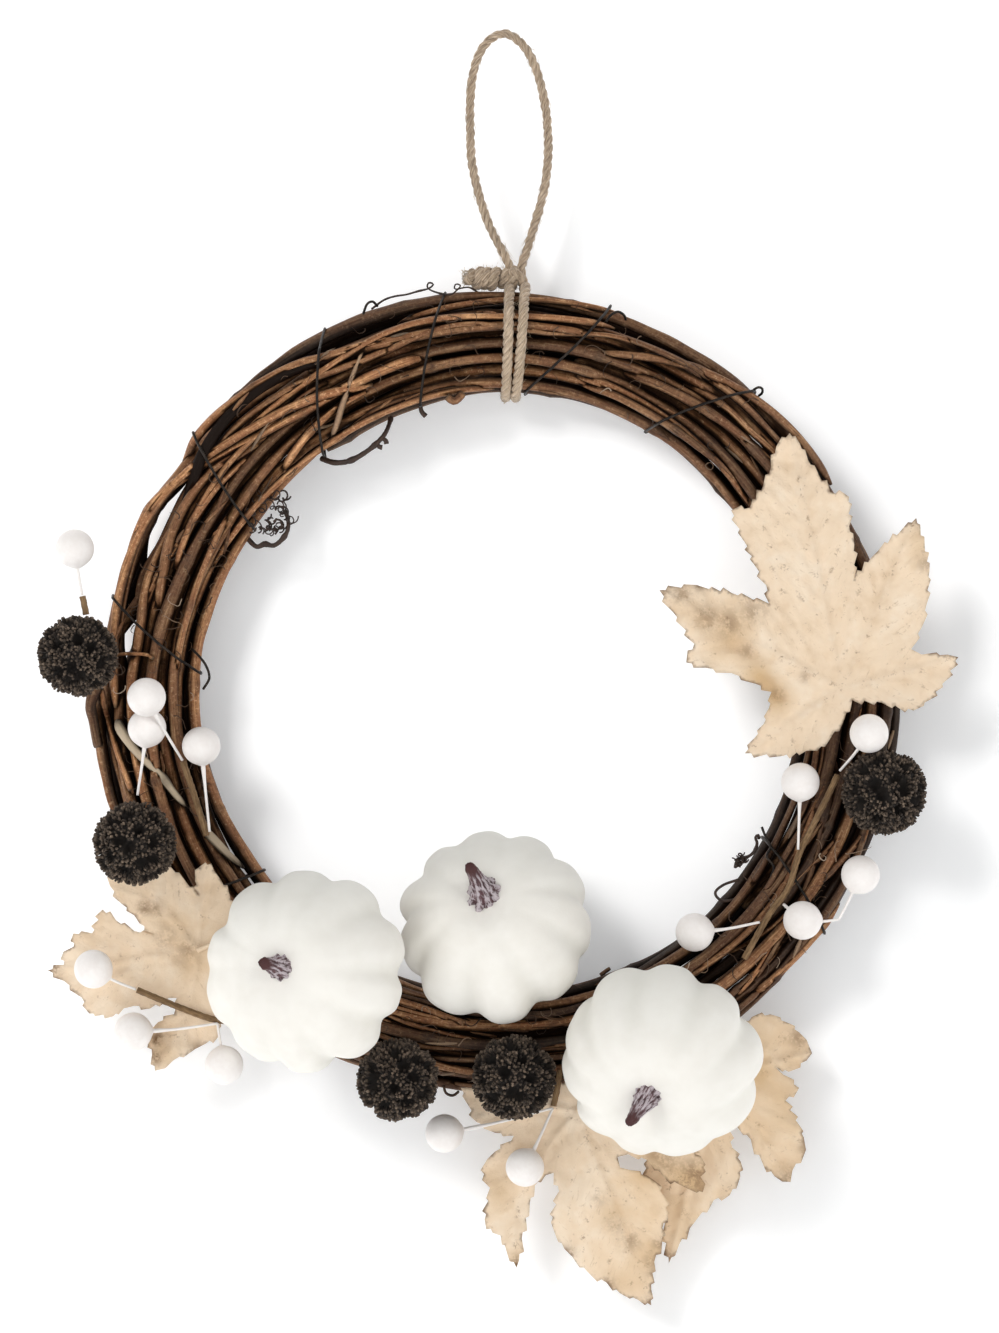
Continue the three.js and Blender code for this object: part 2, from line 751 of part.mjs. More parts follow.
function convexHull(spots) {
  const sorted = [...spots].sort((p, q) => p[0] - q[0] || p[1] - q[1]);
  const turnOf = (o, a, b) => (a[0] - o[0]) * (b[1] - o[1]) - (a[1] - o[1]) * (b[0] - o[0]);
  const chain = (list) => {
    const hull = [];
    for (const spot of list) {
      while (hull.length > 1 && turnOf(hull[hull.length - 2], hull[hull.length - 1], spot) <= 1e-3) {
        hull.pop();
      }
      hull.push(spot);
    }
    hull.pop();
    return hull;
  };
  return [...chain(sorted), ...chain([...sorted].reverse())];
}

// A closed path without the points that lie close behind another.
function thinned(path, least) {
  const kept = [];
  for (const spot of path) {
    const last = kept[kept.length - 1];
    if (!last || Math.hypot(spot[0] - last[0], spot[1] - last[1]) > least) kept.push(spot);
  }
  return kept;
}

// Rings of points round a path in a plane, for a cord that turns corners. "side" is the plane's normal.
function corneredRings(path, side, radius, sides, endless) {
  return path.map((point, i) => {
    const last = path.length - 1;
    const before = path[i > 0 ? i - 1 : endless ? last : 0];
    const after = path[i < last ? i + 1 : endless ? 0 : last];
    const along = after.clone().sub(before).normalize();
    const out = new THREE.Vector3().crossVectors(side, along).normalize();
    const across = new THREE.Vector3().crossVectors(along, out);
    return Array.from({ length: sides }, (_, k) => {
      const round = ((k + 0.5) / sides) * TURN;
      return point
        .clone()
        .addScaledVector(out, radius * Math.cos(round))
        .addScaledVector(across, radius * Math.sin(round));
    });
  });
}

function wireGeometry([middle, lead], strands) {
  const angleAt = (aside) => (middle + lead * aside) * DEGREE;
  const centre = aroundRing(RING_RADIUS, middle * DEGREE);
  const path = tiedPath(strands, WIRE_RADIUS, angleAt).map(([distance, depth]) =>
    onRing(angleAt((distance - centre) / RING_HALF_WIDTH[0]), distance, depth),
  );
  const side = onRing(middle * DEGREE + Math.PI / 2, 1, 0);
  return skin(corneredRings(path, side, WIRE_RADIUS, 4, true), true);
}

// The hitch: the doubled twine goes twice round the bundle, side by side.
function hitchGeometry(strands) {
  const middle = (HITCH_X[0] + HITCH_X[1]) / 2;
  const angle = Math.atan2(middle, RING_RADIUS[0]);
  const hull = tiedPath(strands, TWINE_RADIUS, () => angle);
  const top = hull.reduce((best, spot, i) => (spot[0] > hull[best][0] ? i : best), 0);
  const round = [...hull.slice(top), ...hull.slice(0, top)];
  const twice = [...round, ...round, round[0]];
  const path = twice.map(([distance, depth], i) => {
    const across = smoothstep(THREE.MathUtils.clamp(i / round.length - 0.5, 0, 1));
    return new THREE.Vector3(THREE.MathUtils.lerp(HITCH_X[0], HITCH_X[1], across), depth, distance);
  });
  return skin(corneredRings(path, new THREE.Vector3(1, 0, 0), TWINE_RADIUS, 6, false));
}

// The knot: a barrel of twine coils on its side.
function knotGeometry() {
  const length = KNOT.x[1] - KNOT.x[0];
  const outline = [new THREE.Vector2(0, 0)];
  for (let i = 0; i <= 2 * KNOT.coils; i++) {
    const radius = KNOT.radius * (i % 2 ? 1 : 0.8);
    outline.push(new THREE.Vector2(radius, (i / (2 * KNOT.coils)) * length));
  }
  outline.push(new THREE.Vector2(0, length));
  const geometry = welded(new THREE.LatheGeometry(outline, 8));
  geometry.rotateZ(-Math.PI / 2);
  geometry.translate(KNOT.x[0], KNOT.y, KNOT.z);
  return geometry;
}

// Pumpkins
function turnTo(direction) {
  const up = new THREE.Vector3(0, 0, 1);
  return new THREE.Quaternion().setFromUnitVectors(up, new THREE.Vector3(...direction).normalize());
}

function pumpkinGeometry({ radius, pole, turn }) {
  const height = radius * PUMPKIN_FLATNESS;
  const around = PUMPKIN_LOBES * 4;
  const holeRadius = STEM_RADIUS + GAP;
  const surface = (polar, bearing) => {
    const valley = 1 - Math.pow(Math.abs(Math.sin((bearing * PUMPKIN_LOBES) / 2)), 0.8);
    const wide = radius * Math.sin(polar) * (1 - LOBE_DEPTH * valley);
    const sunk = 0.3 * Math.exp(-Math.pow(wide / (0.34 * radius), 2));
    const high = height * Math.cos(polar) * (1 - sunk) * (1 - 0.5 * LOBE_DEPTH * valley);
    return new THREE.Vector3(wide * Math.cos(bearing), wide * Math.sin(bearing), high);
  };
  const rim = 0.13;
  const rimHeight = surface(rim, 0).z;
  const holeRing = (z) =>
    Array.from({ length: around }, (_, k) => {
      const bearing = turn + (k / around) * TURN;
      return new THREE.Vector3(holeRadius * Math.cos(bearing), holeRadius * Math.sin(bearing), z);
    });
  const rings = [holeRing(rimHeight - HOLE_DEPTH), holeRing(rimHeight)];
  for (const degrees of [18, 32, 52, 76, 102, 130, 158]) {
    rings.push(Array.from({ length: around }, (_, k) => {
      const bearing = (k / around) * TURN;
      return surface(degrees * DEGREE, bearing).applyAxisAngle(new THREE.Vector3(0, 0, 1), turn);
    }));
  }
  const geometry = skin(rings);
  geometry.applyQuaternion(turnTo(pole));
  return { geometry, socket: rimHeight - HOLE_DEPTH + GAP };
}

// A ribbed stem that stands in the pumpkin's hole, flares over its rim and leans to one side.
function pumpkinStemGeometry({ pole, lean }, socket) {
  const ribs = 5;
  const profile = [
    [0, STEM_RADIUS, 0], [HOLE_DEPTH - 0.1, STEM_RADIUS, 0], [STEM_FLARE_HEIGHT, 5.4, 0.26], [8, 3.9, 0.24],
    [13, 2.9, 0.18], [STEM_LENGTH, 2.6, 0.1],
  ];
  const rings = profile.map(([height, radius, ribbed]) =>
    Array.from({ length: 2 * ribs }, (_, k) => {
      const bearing = (k / (2 * ribs)) * TURN;
      const out = radius * (1 - (k % 2) * ribbed);
      return new THREE.Vector3(out * Math.cos(bearing), out * Math.sin(bearing), socket + height);
    }),
  );
  const geometry = skin(rings);
  geometry.applyQuaternion(turnTo(pole));
  const axis = new THREE.Vector3(...pole).normalize();
  const aside = new THREE.Vector3(...lean).normalize();
  aside.addScaledVector(axis, -aside.dot(axis)).normalize();
  const p = geometry.attributes.position;
  for (let i = 0; i < p.count; i++) {
    const point = new THREE.Vector3().fromBufferAttribute(p, i);
    const above = Math.max(0, point.dot(axis) - socket - STEM_FLARE_HEIGHT);
    point.addScaledVector(aside, STEM_LEAN * Math.pow(above / (STEM_LENGTH - STEM_FLARE_HEIGHT), 1.4));
    p.setXYZ(i, point.x, point.y, point.z);
  }
  return geometry;
}

// Seed pods: a ball whose surface sinks into pits at the corners of a coarse net, between ridges.
function podGeometry({ radius }, seed) {
  const random = seededRandom(seed);
  const pits = welded(new THREE.IcosahedronGeometry(1, 1)).attributes.position;
  const geometry = welded(new THREE.IcosahedronGeometry(1, 3));
  const p = geometry.attributes.position;
  for (let i = 0; i < p.count; i++) {
    const point = new THREE.Vector3().fromBufferAttribute(p, i);
    let nearest = Infinity;
    for (let k = 0; k < pits.count; k++) {
      nearest = Math.min(nearest, point.distanceTo(new THREE.Vector3().fromBufferAttribute(pits, k)));
    }
    const sunk = nearest < 0.05 ? PIT_DEPTH : 0.06 * random();
    point.multiplyScalar(radius * (1 - sunk));
    p.setXYZ(i, point.x, point.y, point.z);
  }
  geometry.applyQuaternion(new THREE.Quaternion().setFromEuler(new THREE.Euler(seed, 2 * seed, 0)));
  return geometry;
}

// Maple leaves
function leafGeometry({ lobes, fall, stalk }) {
  const points = [];
  const keys = new Map();
  const ribs = new Set();
  const pointAt = ([x, z], isRib) => {
    const key = x.toFixed(3) + " " + z.toFixed(3);
    if (!keys.has(key)) {
      keys.set(key, points.length);
      points.push([x, z]);
    }
    if (isRib) ribs.add(keys.get(key));
    return keys.get(key);
  };
  const faces = [];
  lobes.forEach(({ edge, bow }, i) => {
    const closed = [...edge, lobes[(i + 1) % lobes.length].edge[0]];
    const furthest = (best, p, k) => (Math.hypot(...p) > Math.hypot(...closed[best]) ? k : best);
    const tip = closed.reduce(furthest, 0);
    const end = closed[tip];
    const bend = bow || [end[0] / 2, end[1] / 2];
    const rib = Array.from({ length: RIB_STEPS + 1 }, (_, k) => {
      const t = k / RIB_STEPS;
      return [0, 1].map((n) => 2 * t * (1 - t) * bend[n] + t * t * end[n]);
    });
    const ribPoints = rib.map((p, k) => pointAt(k === RIB_STEPS ? end : p, k < RIB_STEPS));
    const edgePoints = closed.map((p) => pointAt(p, false));
    faces.push(...ladder(edgePoints.slice(0, tip + 1), ribPoints));
    faces.push(...ladder(edgePoints.slice(tip).reverse(), ribPoints).map(([a, b, c]) => [a, c, b]));
  });
  const depthOf = ([x, z], k) => {
    const reach = Math.hypot(x, z);
    const wave = 0.9 * Math.sin(0.16 * x + 1.3) * Math.sin(0.13 * z + 0.4);
    return -fall[0] * x - fall[1] * z + (ribs.has(k) ? 0.9 : 0) + wave + 0.0006 * reach * reach;
  };
  const front = points.map((p, k) => new THREE.Vector3(p[0], depthOf(p, k) - LEAF_THICKNESS / 2, p[1]));
  const back = front.map((p) => p.clone().add(new THREE.Vector3(0, LEAF_THICKNESS, 0)));
  const count = points.length;
  const triangles = faces.flatMap(([a, b, c]) => [[a, b, c], [a + count, c + count, b + count]]);
  const edges = new Map();
  faces.forEach((f) => f.forEach((a, k) => edges.set(a + "-" + f[(k + 1) % 3], [a, f[(k + 1) % 3]])));
  for (const [a, b] of edges.values()) {
    if (!edges.has(b + "-" + a)) {
      triangles.push([b, a, a + count], [b, a + count, b + count]);
    }
  }
  const blade = facingOut([...front, ...back], triangles);
  const baseDepth = depthOf([0, 0], keys.get("0.000 0.000"));
  const stalkRoute = stalk.map(([x, y, z]) => [x, y + baseDepth, z]);
  return fused([blade, cordGeometry(stalkRoute, STALK_RADIUS, 6, 6)]);
}

// Triangles between two lines of points that end at the same point.
function ladder(left, right) {
  const faces = [];
  let [i, k] = [0, 0];
  const tip = left[left.length - 1];
  while (left[i] !== tip || right[k] !== tip) {
    const leftNext = i < left.length - 1 ? (i + 1) / (left.length - 1) : Infinity;
    const rightNext = k < right.length - 1 ? (k + 1) / (right.length - 1) : Infinity;
    if (leftNext <= rightNext) {
      if (left[i + 1] !== right[k]) faces.push([left[i], left[i + 1], right[k]]);
      i++;
    } else {
      if (right[k + 1] !== left[i]) faces.push([left[i], right[k + 1], right[k]]);
      k++;
    }
  }
  return faces;
}

// Berries: white balls on wires that meet at one point. Where that point is clear of the stem,
// a last wire leads from the last berry to its foot beside the stem.
function berryGeometry({ berries, meet, foot }) {
  const parts = berries.flatMap((berry) => {
    const ball = new THREE.SphereGeometry(BERRY_RADIUS, 9, 6);
    ball.translate(...berry);
    const bend = berry.map((value, k) => (value + meet[k]) / 2 + (k === 2 ? -0.6 : 0));
    return [ball, cordGeometry([berry, bend, meet], BERRY_WIRE_RADIUS, 4, 2)];
  });
  if (foot) {
    parts.push(cordGeometry([berries[berries.length - 1], foot], BERRY_WIRE_RADIUS, 4, 1));
  }
  return fused(parts);
}

const sprayStemGeometry = ({ stem }) => cordGeometry(stem, SPRAY_STEM_RADIUS, 6, 2 * stem.length);

// Tendrils start just clear of the cane that lies furthest in or out at their angle.
function tendrilGeometry({ angle, edge, path }, strands) {
  const start = angle * DEGREE;
  const step = 3 * DEGREE;
  const near = [-step, 0, step].flatMap((offset) => crossingsAt(strands, start + offset));
  const cane = near.reduce((best, c) => (edge * c.distance > edge * best.distance ? c : best));
  const skinAt = edge > 0 ? 1 : Math.cos(Math.PI / CANE_SIDES);
  const root = cane.distance + edge * (cane.radius * skinAt + 1.2 * GAP);
  const route = path.map(([along, forward, away]) => {
    const point = onRing(start + along / root, root + edge * away, cane.depth + forward);
    return [point.x, point.y, point.z];
  });
  return cordGeometry(route, TENDRIL_RADIUS, 4, 14);
}

// The assembly
const wreath = new THREE.Group();
const root = new THREE.Group();
root.position.z = -RING_BELOW_NAIL;
wreath.add(root);

function addPiece(name, geometry, color, roughness = 0.8) {
  const mesh = new THREE.Mesh(geometry, new THREE.MeshStandardMaterial({ color, roughness, metalness: 0 }));
  mesh.name = name;
  root.add(mesh);
}

const frontMap = new FrontMap();
const IN_FRONT = -120; // where a piece waits before it is laid back on the others

const canes = woundCanes();
canes.forEach((strand, i) => {
  const geometry = strandGeometry(strand);
  frontMap.add(geometry);
  addPiece("vine_cane_" + (i + 1), geometry, COLOURS.cane);
});

const strands = [...canes];
for (const runner of RUNNERS) {
  const strand = runnerStrand(runner, strands);
  strands.push(strand);
  const geometry = strandGeometry(strand);
  frontMap.add(geometry);
  addPiece(runner.name, geometry, COLOURS.runner);
}

WIRES.forEach((wire, i) => {
  const geometry = wireGeometry(wire, strands);
  frontMap.add(geometry);
  addPiece("wire_" + (i + 1), geometry, COLOURS.wire, 0.5);
});

const hitch = hitchGeometry(strands);
frontMap.add(hitch);
addPiece("jute_hitch", hitch, COLOURS.jute, 0.95);
addPiece("jute_knot", knotGeometry(), COLOURS.jute, 0.95);
addPiece("jute_loop", cordGeometry(LOOP_ROUTE, TWINE_RADIUS, 8, LOOP_STEPS), COLOURS.jute, 0.95);

for (const tendril of TENDRILS) {
  addPiece(tendril.name, tendrilGeometry(tendril, strands), COLOURS.cane);
}

for (const leaf of LEAVES) {
  const geometry = leafGeometry(leaf);
  geometry.translate(leaf.at[0], IN_FRONT, leaf.at[1]);
  frontMap.lay([geometry]);
  addPiece(leaf.name, geometry, COLOURS.leaf);
}

const podDepth = {};

function addSpray(spray) {
  const stem = spray.stem ? sprayStemGeometry(spray) : null;
  const whites = spray.whites.map(berryGeometry);
  const pieces = stem ? [stem, ...whites] : whites;
  const depth = spray.standsOn ? podDepth[spray.standsOn] : IN_FRONT;
  for (const piece of pieces) {
    piece.translate(0, depth, 0);
  }
  if (!spray.standsOn) frontMap.lay(pieces);
  if (stem) addPiece(spray.name + "_stem", stem, COLOURS.sprayStem);
  whites.forEach((white, i) => addPiece(spray.name + "_berries_" + (i + 1), white, COLOURS.berry, 0.6));
}

SPRAYS.filter((spray) => spray.underPumpkins).forEach(addSpray);

for (const pumpkin of PUMPKINS) {
  const { geometry, socket } = pumpkinGeometry(pumpkin);
  const stem = pumpkinStemGeometry(pumpkin, socket);
  for (const piece of [geometry, stem]) {
    piece.translate(pumpkin.x, IN_FRONT, pumpkin.z);
  }
  frontMap.lay([geometry, stem]);
  addPiece(pumpkin.name, geometry, COLOURS.pumpkin, 0.7);
  addPiece(pumpkin.name + "_stem", stem, COLOURS.stem);
}

PODS.forEach((pod, i) => {
  const geometry = podGeometry(pod, i + 1);
  geometry.translate(pod.x, IN_FRONT, pod.z);
  podDepth[pod.name] = IN_FRONT + frontMap.lay([geometry]);
  addPiece(pod.name, geometry, COLOURS.pod, 0.95);
});

SPRAYS.filter((spray) => !spray.underPumpkins).forEach(addSpray);

export default wreath;
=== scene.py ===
import json
import math
import random
from collections import defaultdict

import bpy
import numpy as np
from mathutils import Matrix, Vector, noise
from mathutils.bvhtree import BVHTree
from mathutils.geometry import delaunay_2d_cdt

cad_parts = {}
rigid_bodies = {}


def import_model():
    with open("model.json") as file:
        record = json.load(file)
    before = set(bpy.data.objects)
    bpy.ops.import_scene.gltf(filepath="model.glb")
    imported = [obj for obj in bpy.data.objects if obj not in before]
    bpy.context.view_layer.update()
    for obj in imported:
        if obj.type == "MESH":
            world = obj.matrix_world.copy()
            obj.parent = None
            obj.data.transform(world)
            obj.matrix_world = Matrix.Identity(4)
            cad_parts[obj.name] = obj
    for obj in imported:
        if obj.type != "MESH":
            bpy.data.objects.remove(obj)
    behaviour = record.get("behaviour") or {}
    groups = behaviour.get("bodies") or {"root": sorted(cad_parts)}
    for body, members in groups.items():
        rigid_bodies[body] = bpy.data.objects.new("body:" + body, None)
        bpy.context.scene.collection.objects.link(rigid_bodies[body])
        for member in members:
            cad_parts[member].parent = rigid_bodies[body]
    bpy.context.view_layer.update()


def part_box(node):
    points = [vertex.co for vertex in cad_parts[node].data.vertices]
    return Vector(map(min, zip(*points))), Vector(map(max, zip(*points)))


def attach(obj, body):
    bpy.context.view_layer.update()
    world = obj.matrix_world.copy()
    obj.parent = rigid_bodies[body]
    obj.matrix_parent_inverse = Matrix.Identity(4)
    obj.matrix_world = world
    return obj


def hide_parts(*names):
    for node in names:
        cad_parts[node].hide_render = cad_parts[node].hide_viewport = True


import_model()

bpy.ops.object.select_all(action="DESELECT")

# Places on the wreath are in millimetres from the middle of the vine ring: right, away from the
# viewer, up. The nail is above it.
MM = 0.001
RING_BELOW_NAIL = 248.2
RING_MIDDLE = np.array([0, 0, -RING_BELOW_NAIL])
TURN = 2 * math.pi
CAMERA_AWAY = 1600
# The bundle of canes: its inner and outer edge and its middle line, as distances from the ring's middle.
INNER_EDGE, OUTER_EDGE, BUNDLE_MIDDLE = 112, 150.5, 132.7
HALF_BUNDLE = 20


# Camera and lamps
def add_camera():
    bpy.ops.object.camera_add(location=(-0.0017, -CAMERA_AWAY * MM, -0.2378),
                              rotation=(math.radians(90), 0, 0))
    camera = bpy.context.object
    camera.name = "camera"
    camera.data.lens = 114
    camera.data.sensor_width = 36
    bpy.context.scene.camera = camera


# Each lamp that the wall and floor leave out, or that lights only them, and which of the two.
LAMPS_LINKED = []
AIM = (0, 0, -0.25)


def add_lamp(name, place, size, watts, colour, on_wall=None, aim=AIM):
    bpy.ops.object.light_add(type="AREA", location=place)
    lamp = bpy.context.object
    lamp.name = name
    lamp.rotation_euler = (Vector(aim) - Vector(place)).to_track_quat("-Z", "Y").to_euler()
    lamp.data.size = size
    lamp.data.energy = watts
    lamp.data.color = colour
    if on_wall:
        LAMPS_LINKED.append((lamp, on_wall))


add_camera()


# Shader trees
class Shader:
    """A shader tree, with short ways to add the nodes that the looks are made of."""

    def __init__(self, tree):
        self.tree = tree

    def link(self, value, socket):
        """Give a socket another one's value, a number, or a colour of red, green and blue."""
        if isinstance(value, bpy.types.NodeSocket):
            self.tree.links.new(value, socket)
        else:
            socket.default_value = (*value, 1) if isinstance(value, tuple) else value

    def add(self, kind, settings=None, output=0, **inputs):
        """A new node's output. An input is given by its name, or as _2 if it is the third one."""
        made = self.tree.nodes.new("ShaderNode" + kind)
        for name, value in (settings or {}).items():
            setattr(made, name, value)
        for name, value in inputs.items():
            self.link(value, made.inputs[int(name[1:]) if name[0] == "_" else name])
        return made.outputs[output]

    def math(self, kind, a, b, clamp=False):
        return self.add("Math", {"operation": kind, "use_clamp": clamp}, _0=a, _1=b)

    def times(self, a, b, clamp=False):
        return self.math("MULTIPLY", a, b, clamp)

    def plus(self, a, b):
        return self.math("ADD", a, b)

    def ramp(self, factor, stops, smooth="EASE"):
        made = self.add("ValToRGB", None, "Color", Fac=factor)
        ramp = made.node.color_ramp
        ramp.interpolation = smooth
        while len(ramp.elements) < len(stops):
            ramp.elements.new(0.5)
        for element, (place, colour) in zip(ramp.elements, stops):
            element.position = place
            element.color = (*colour, 1) if isinstance(colour, tuple) else (colour, colour, colour, 1)
        return made

    def over(self, base, cover, colour, blend="MIX"):
        """A colour laid over the base, as much as the cover says."""
        return self.add("Mix", {"data_type": "RGBA", "blend_type": blend}, 2, _0=cover, _6=base, _7=colour)

    def shade(self, base, factor, stops, smooth="EASE"):
        """The base made darker or brighter by a ramp."""
        return self.over(base, 1.0, self.ramp(factor, stops, smooth), "MULTIPLY")

    def value(self, name, output="Fac"):
        """What a mesh says of each of its points."""
        return self.add("Attribute", {"attribute_name": name}, output)

    def grain(self):
        return self.value("grain", "Vector")

    def place(self):
        """The place in the object in millimetres."""
        return self.add("VectorMath", {"operation": "SCALE"}, _0=self.add("TexCoord", None, "Object"),
                        Scale=1000.0)

    def noise(self, where, scale, **inputs):
        return self.add("TexNoise", Vector=where, Scale=scale, **inputs)

    def fibres(self, fineness, stretch):
        return self.add("Group", {"node_tree": FIBRES}, Grain=self.grain(), Fineness=fineness,
                        Stretch=stretch)

    def mottle(self, size, where=None):
        return self.add("Group", {"node_tree": MOTTLE}, Place=where or self.place(), Size=size)


def start_group(name, *inputs):
    """A group with one value as its result: its tree, the inputs that it gets, and the result."""
    group = bpy.data.node_groups.new(name, "ShaderNodeTree")
    for socket, kind, value in inputs:
        made = group.interface.new_socket(socket, in_out="INPUT", socket_type="NodeSocket" + kind)
        if value is not None:
            made.default_value = value
    group.interface.new_socket("Value", in_out="OUTPUT", socket_type="NodeSocketFloat")
    given, result = group.nodes.new("NodeGroupInput"), group.nodes.new("NodeGroupOutput")
    return Shader(group), given.outputs, result.inputs[0]


def fibre_group():
    """Streaks along a stem, a strand or a rib. "Grain" has the length along it in z, in mm."""
    group, given, result = start_group(
        "fibres", ("Grain", "Vector", None), ("Fineness", "Float", 1.0), ("Stretch", "Float", 0.08))
    scale = group.add("CombineXYZ", Z=given["Stretch"], X=1.0, Y=1.0)
    along = group.add("VectorMath", {"operation": "MULTIPLY"}, _0=given["Grain"], _1=scale)
    group.link(group.noise(along, given["Fineness"], Detail=5.0, Roughness=0.62, Distortion=0.25), result)
    return group.tree


def mottle_group():
    """Soft patches of two sizes."""
    group, given, result = start_group("mottle", ("Place", "Vector", None), ("Size", "Float", 10.0))
    per_mm = group.math("DIVIDE", 1.0, given["Size"])
    large = group.noise(given["Place"], per_mm, Detail=3.0, Roughness=0.55)
    small = group.noise(given["Place"], group.times(per_mm, 4.3), Detail=2.0, Roughness=0.5)
    group.link(group.add("Math", {"operation": "MULTIPLY_ADD"}, _0=large, _1=0.65,
                         _2=group.times(small, 0.35)), result)
    return group.tree


FIBRES = fibre_group()
MOTTLE = mottle_group()


class Material(Shader):
    def __init__(self, name, roughness=0.8, **inputs):
        self.material = bpy.data.materials.new(name)
        self.material.use_nodes = True
        super().__init__(self.material.node_tree)
        self.surface = self.tree.nodes["Principled BSDF"]
        self.set(Roughness=roughness, **inputs)

    def set(self, **inputs):
        for name, value in inputs.items():
            self.link(value, self.surface.inputs[name.replace("_", " ")])

    def painted(self, colour, relief=None, strength=0.0, height=0.0):
        """The material with its colour, and with a relief that stands this many millimetres high."""
        self.set(Base_Color=colour)
        if relief is not None:
            self.set(Normal=self.add("Bump", Height=relief, Strength=strength, Distance=height * MM))
        return self.material


def bark_material():
    bark = Material("vine_bark", 0.66, Specular_IOR_Level=0.42)
    streaks = bark.plus(bark.times(bark.fibres(1.5, 0.05), 0.6), bark.times(bark.fibres(0.45, 0.08), 0.4))
    patches, flecks = bark.mottle(16.0, bark.grain()), bark.mottle(1.3, bark.grain())
    shelter, dark = bark.value("shelter"), bark.value("dark")
    colour = bark.ramp(streaks, [
        (0.33, (0.064, 0.025, 0.010)), (0.45, (0.140, 0.061, 0.024)), (0.55, (0.230, 0.116, 0.050)),
        (0.66, (0.415, 0.240, 0.118))], "LINEAR")
    colour = bark.over(colour, bark.ramp(patches, [(0.38, 0.0), (0.62, 0.6)]), (0.135, 0.052, 0.022))
    colour = bark.shade(colour, flecks, [(0.30, 0.45), (0.50, 1.0)])
    colour = bark.over(colour, bark.ramp(flecks, [(0.54, 0.0), (0.68, 0.62)]), (0.43, 0.272, 0.148))
    colour = bark.over(colour, bark.value("grey"), (0.24, 0.205, 0.150))
    # A cane's tone is its own colour, with painted light added towards the ring's upper left.
    colour = bark.shade(colour, bark.value("tone"), [(0.0, 0.14), (0.5, 1.0), (1.0, 2.1)], "LINEAR")
    # Painted highlight on the side of each cane that looks out of the bundle, and painted shade on its other
    # sides.
    colour = bark.shade(colour, bark.value("crest"), [(0.0, 0.06), (0.45, 0.24), (0.72, 0.72), (0.92, 1.2)])
    colour = bark.over(colour, bark.value("cut"), (0.12, 0.075, 0.040))
    colour = bark.over(colour, dark, (0.014, 0.009, 0.007))
    # Painted shade: where the canes close in, the gaps between them are painted near-black.
    gap = bark.ramp(shelter, [(0.05, 0.0), (0.22, 0.42), (0.42, 0.85), (0.62, 0.98)], "LINEAR")
    colour = bark.over(colour, gap, (0.010, 0.0045, 0.0028))
    shine = bark.times(bark.ramp(shelter, [(0.02, 0.42), (0.3, 0.04)], "LINEAR"),
                       bark.ramp(dark, [(0.5, 1.0), (0.9, 0.15)], "LINEAR"))
    bark.set(Roughness=bark.ramp(streaks, [(0.35, 0.80), (0.65, 0.50)], "LINEAR"), Specular_IOR_Level=shine)
    return bark.painted(colour, bark.plus(streaks, bark.times(flecks, 0.5)), 0.8, 0.7)


def plain_wood_material(name, dark, light, roughness):
    wood = Material(name, roughness)
    streaks = wood.fibres(1.6, 0.12)
    return wood.painted(wood.ramp(streaks, [(0.35, dark), (0.65, light)], "LINEAR"), streaks, 0.7, 0.3)


def wire_material():
    wire = Material("binding_wire", 0.5, Metallic=0.55)
    worn = wire.mottle(3.0)
    colour = wire.ramp(worn, [(0.4, (0.010, 0.008, 0.007)), (0.7, (0.045, 0.032, 0.024))])
    return wire.painted(colour, worn, 0.3, 0.1)


def jute_material():
    jute = Material("jute_twine", 0.9, Sheen_Weight=0.25, Sheen_Roughness=0.6)
    fibre = jute.fibres(3.2, 0.07)
    colour = jute.ramp(fibre, [
        (0.30, (0.135, 0.092, 0.057)), (0.46, (0.385, 0.282, 0.192)), (0.58, (0.68, 0.53, 0.39)),
        (0.70, (0.82, 0.70, 0.55))], "LINEAR")
    patches = jute.ramp(jute.mottle(9.0), [(0.35, 0.0), (0.65, 0.5)])
    colour = jute.over(colour, patches, (0.24, 0.180, 0.122))
    height = jute.add("SeparateXYZ", None, "Z", Vector=jute.place())
    low = jute.add("MapRange", Value=height, _1=-88.0, _2=-125.0, _3=0.0, _4=0.2)
    colour = jute.over(colour, low, (0.74, 0.59, 0.42))
    # Painted shade where the plies meet.
    colour = jute.over(colour, jute.value("groove"), (0.085, 0.060, 0.038))
    return jute.painted(colour, fibre, 0.9, 0.22)


def fuzz_material():
    fuzz = Material("jute_hairs")
    return fuzz.painted(fuzz.ramp(fuzz.mottle(2.0), [
        (0.35, (0.33, 0.24, 0.15)), (0.65, (0.66, 0.55, 0.40))]))


def rootlet_material():
    root = Material("rootlets", 0.75)
    return root.painted(root.ramp(root.value("tone"), [
        (0.0, (0.014, 0.008, 0.005)), (0.55, (0.10, 0.055, 0.030)), (0.85, (0.30, 0.20, 0.13)),
        (1.0, (0.60, 0.49, 0.38))], "LINEAR"))


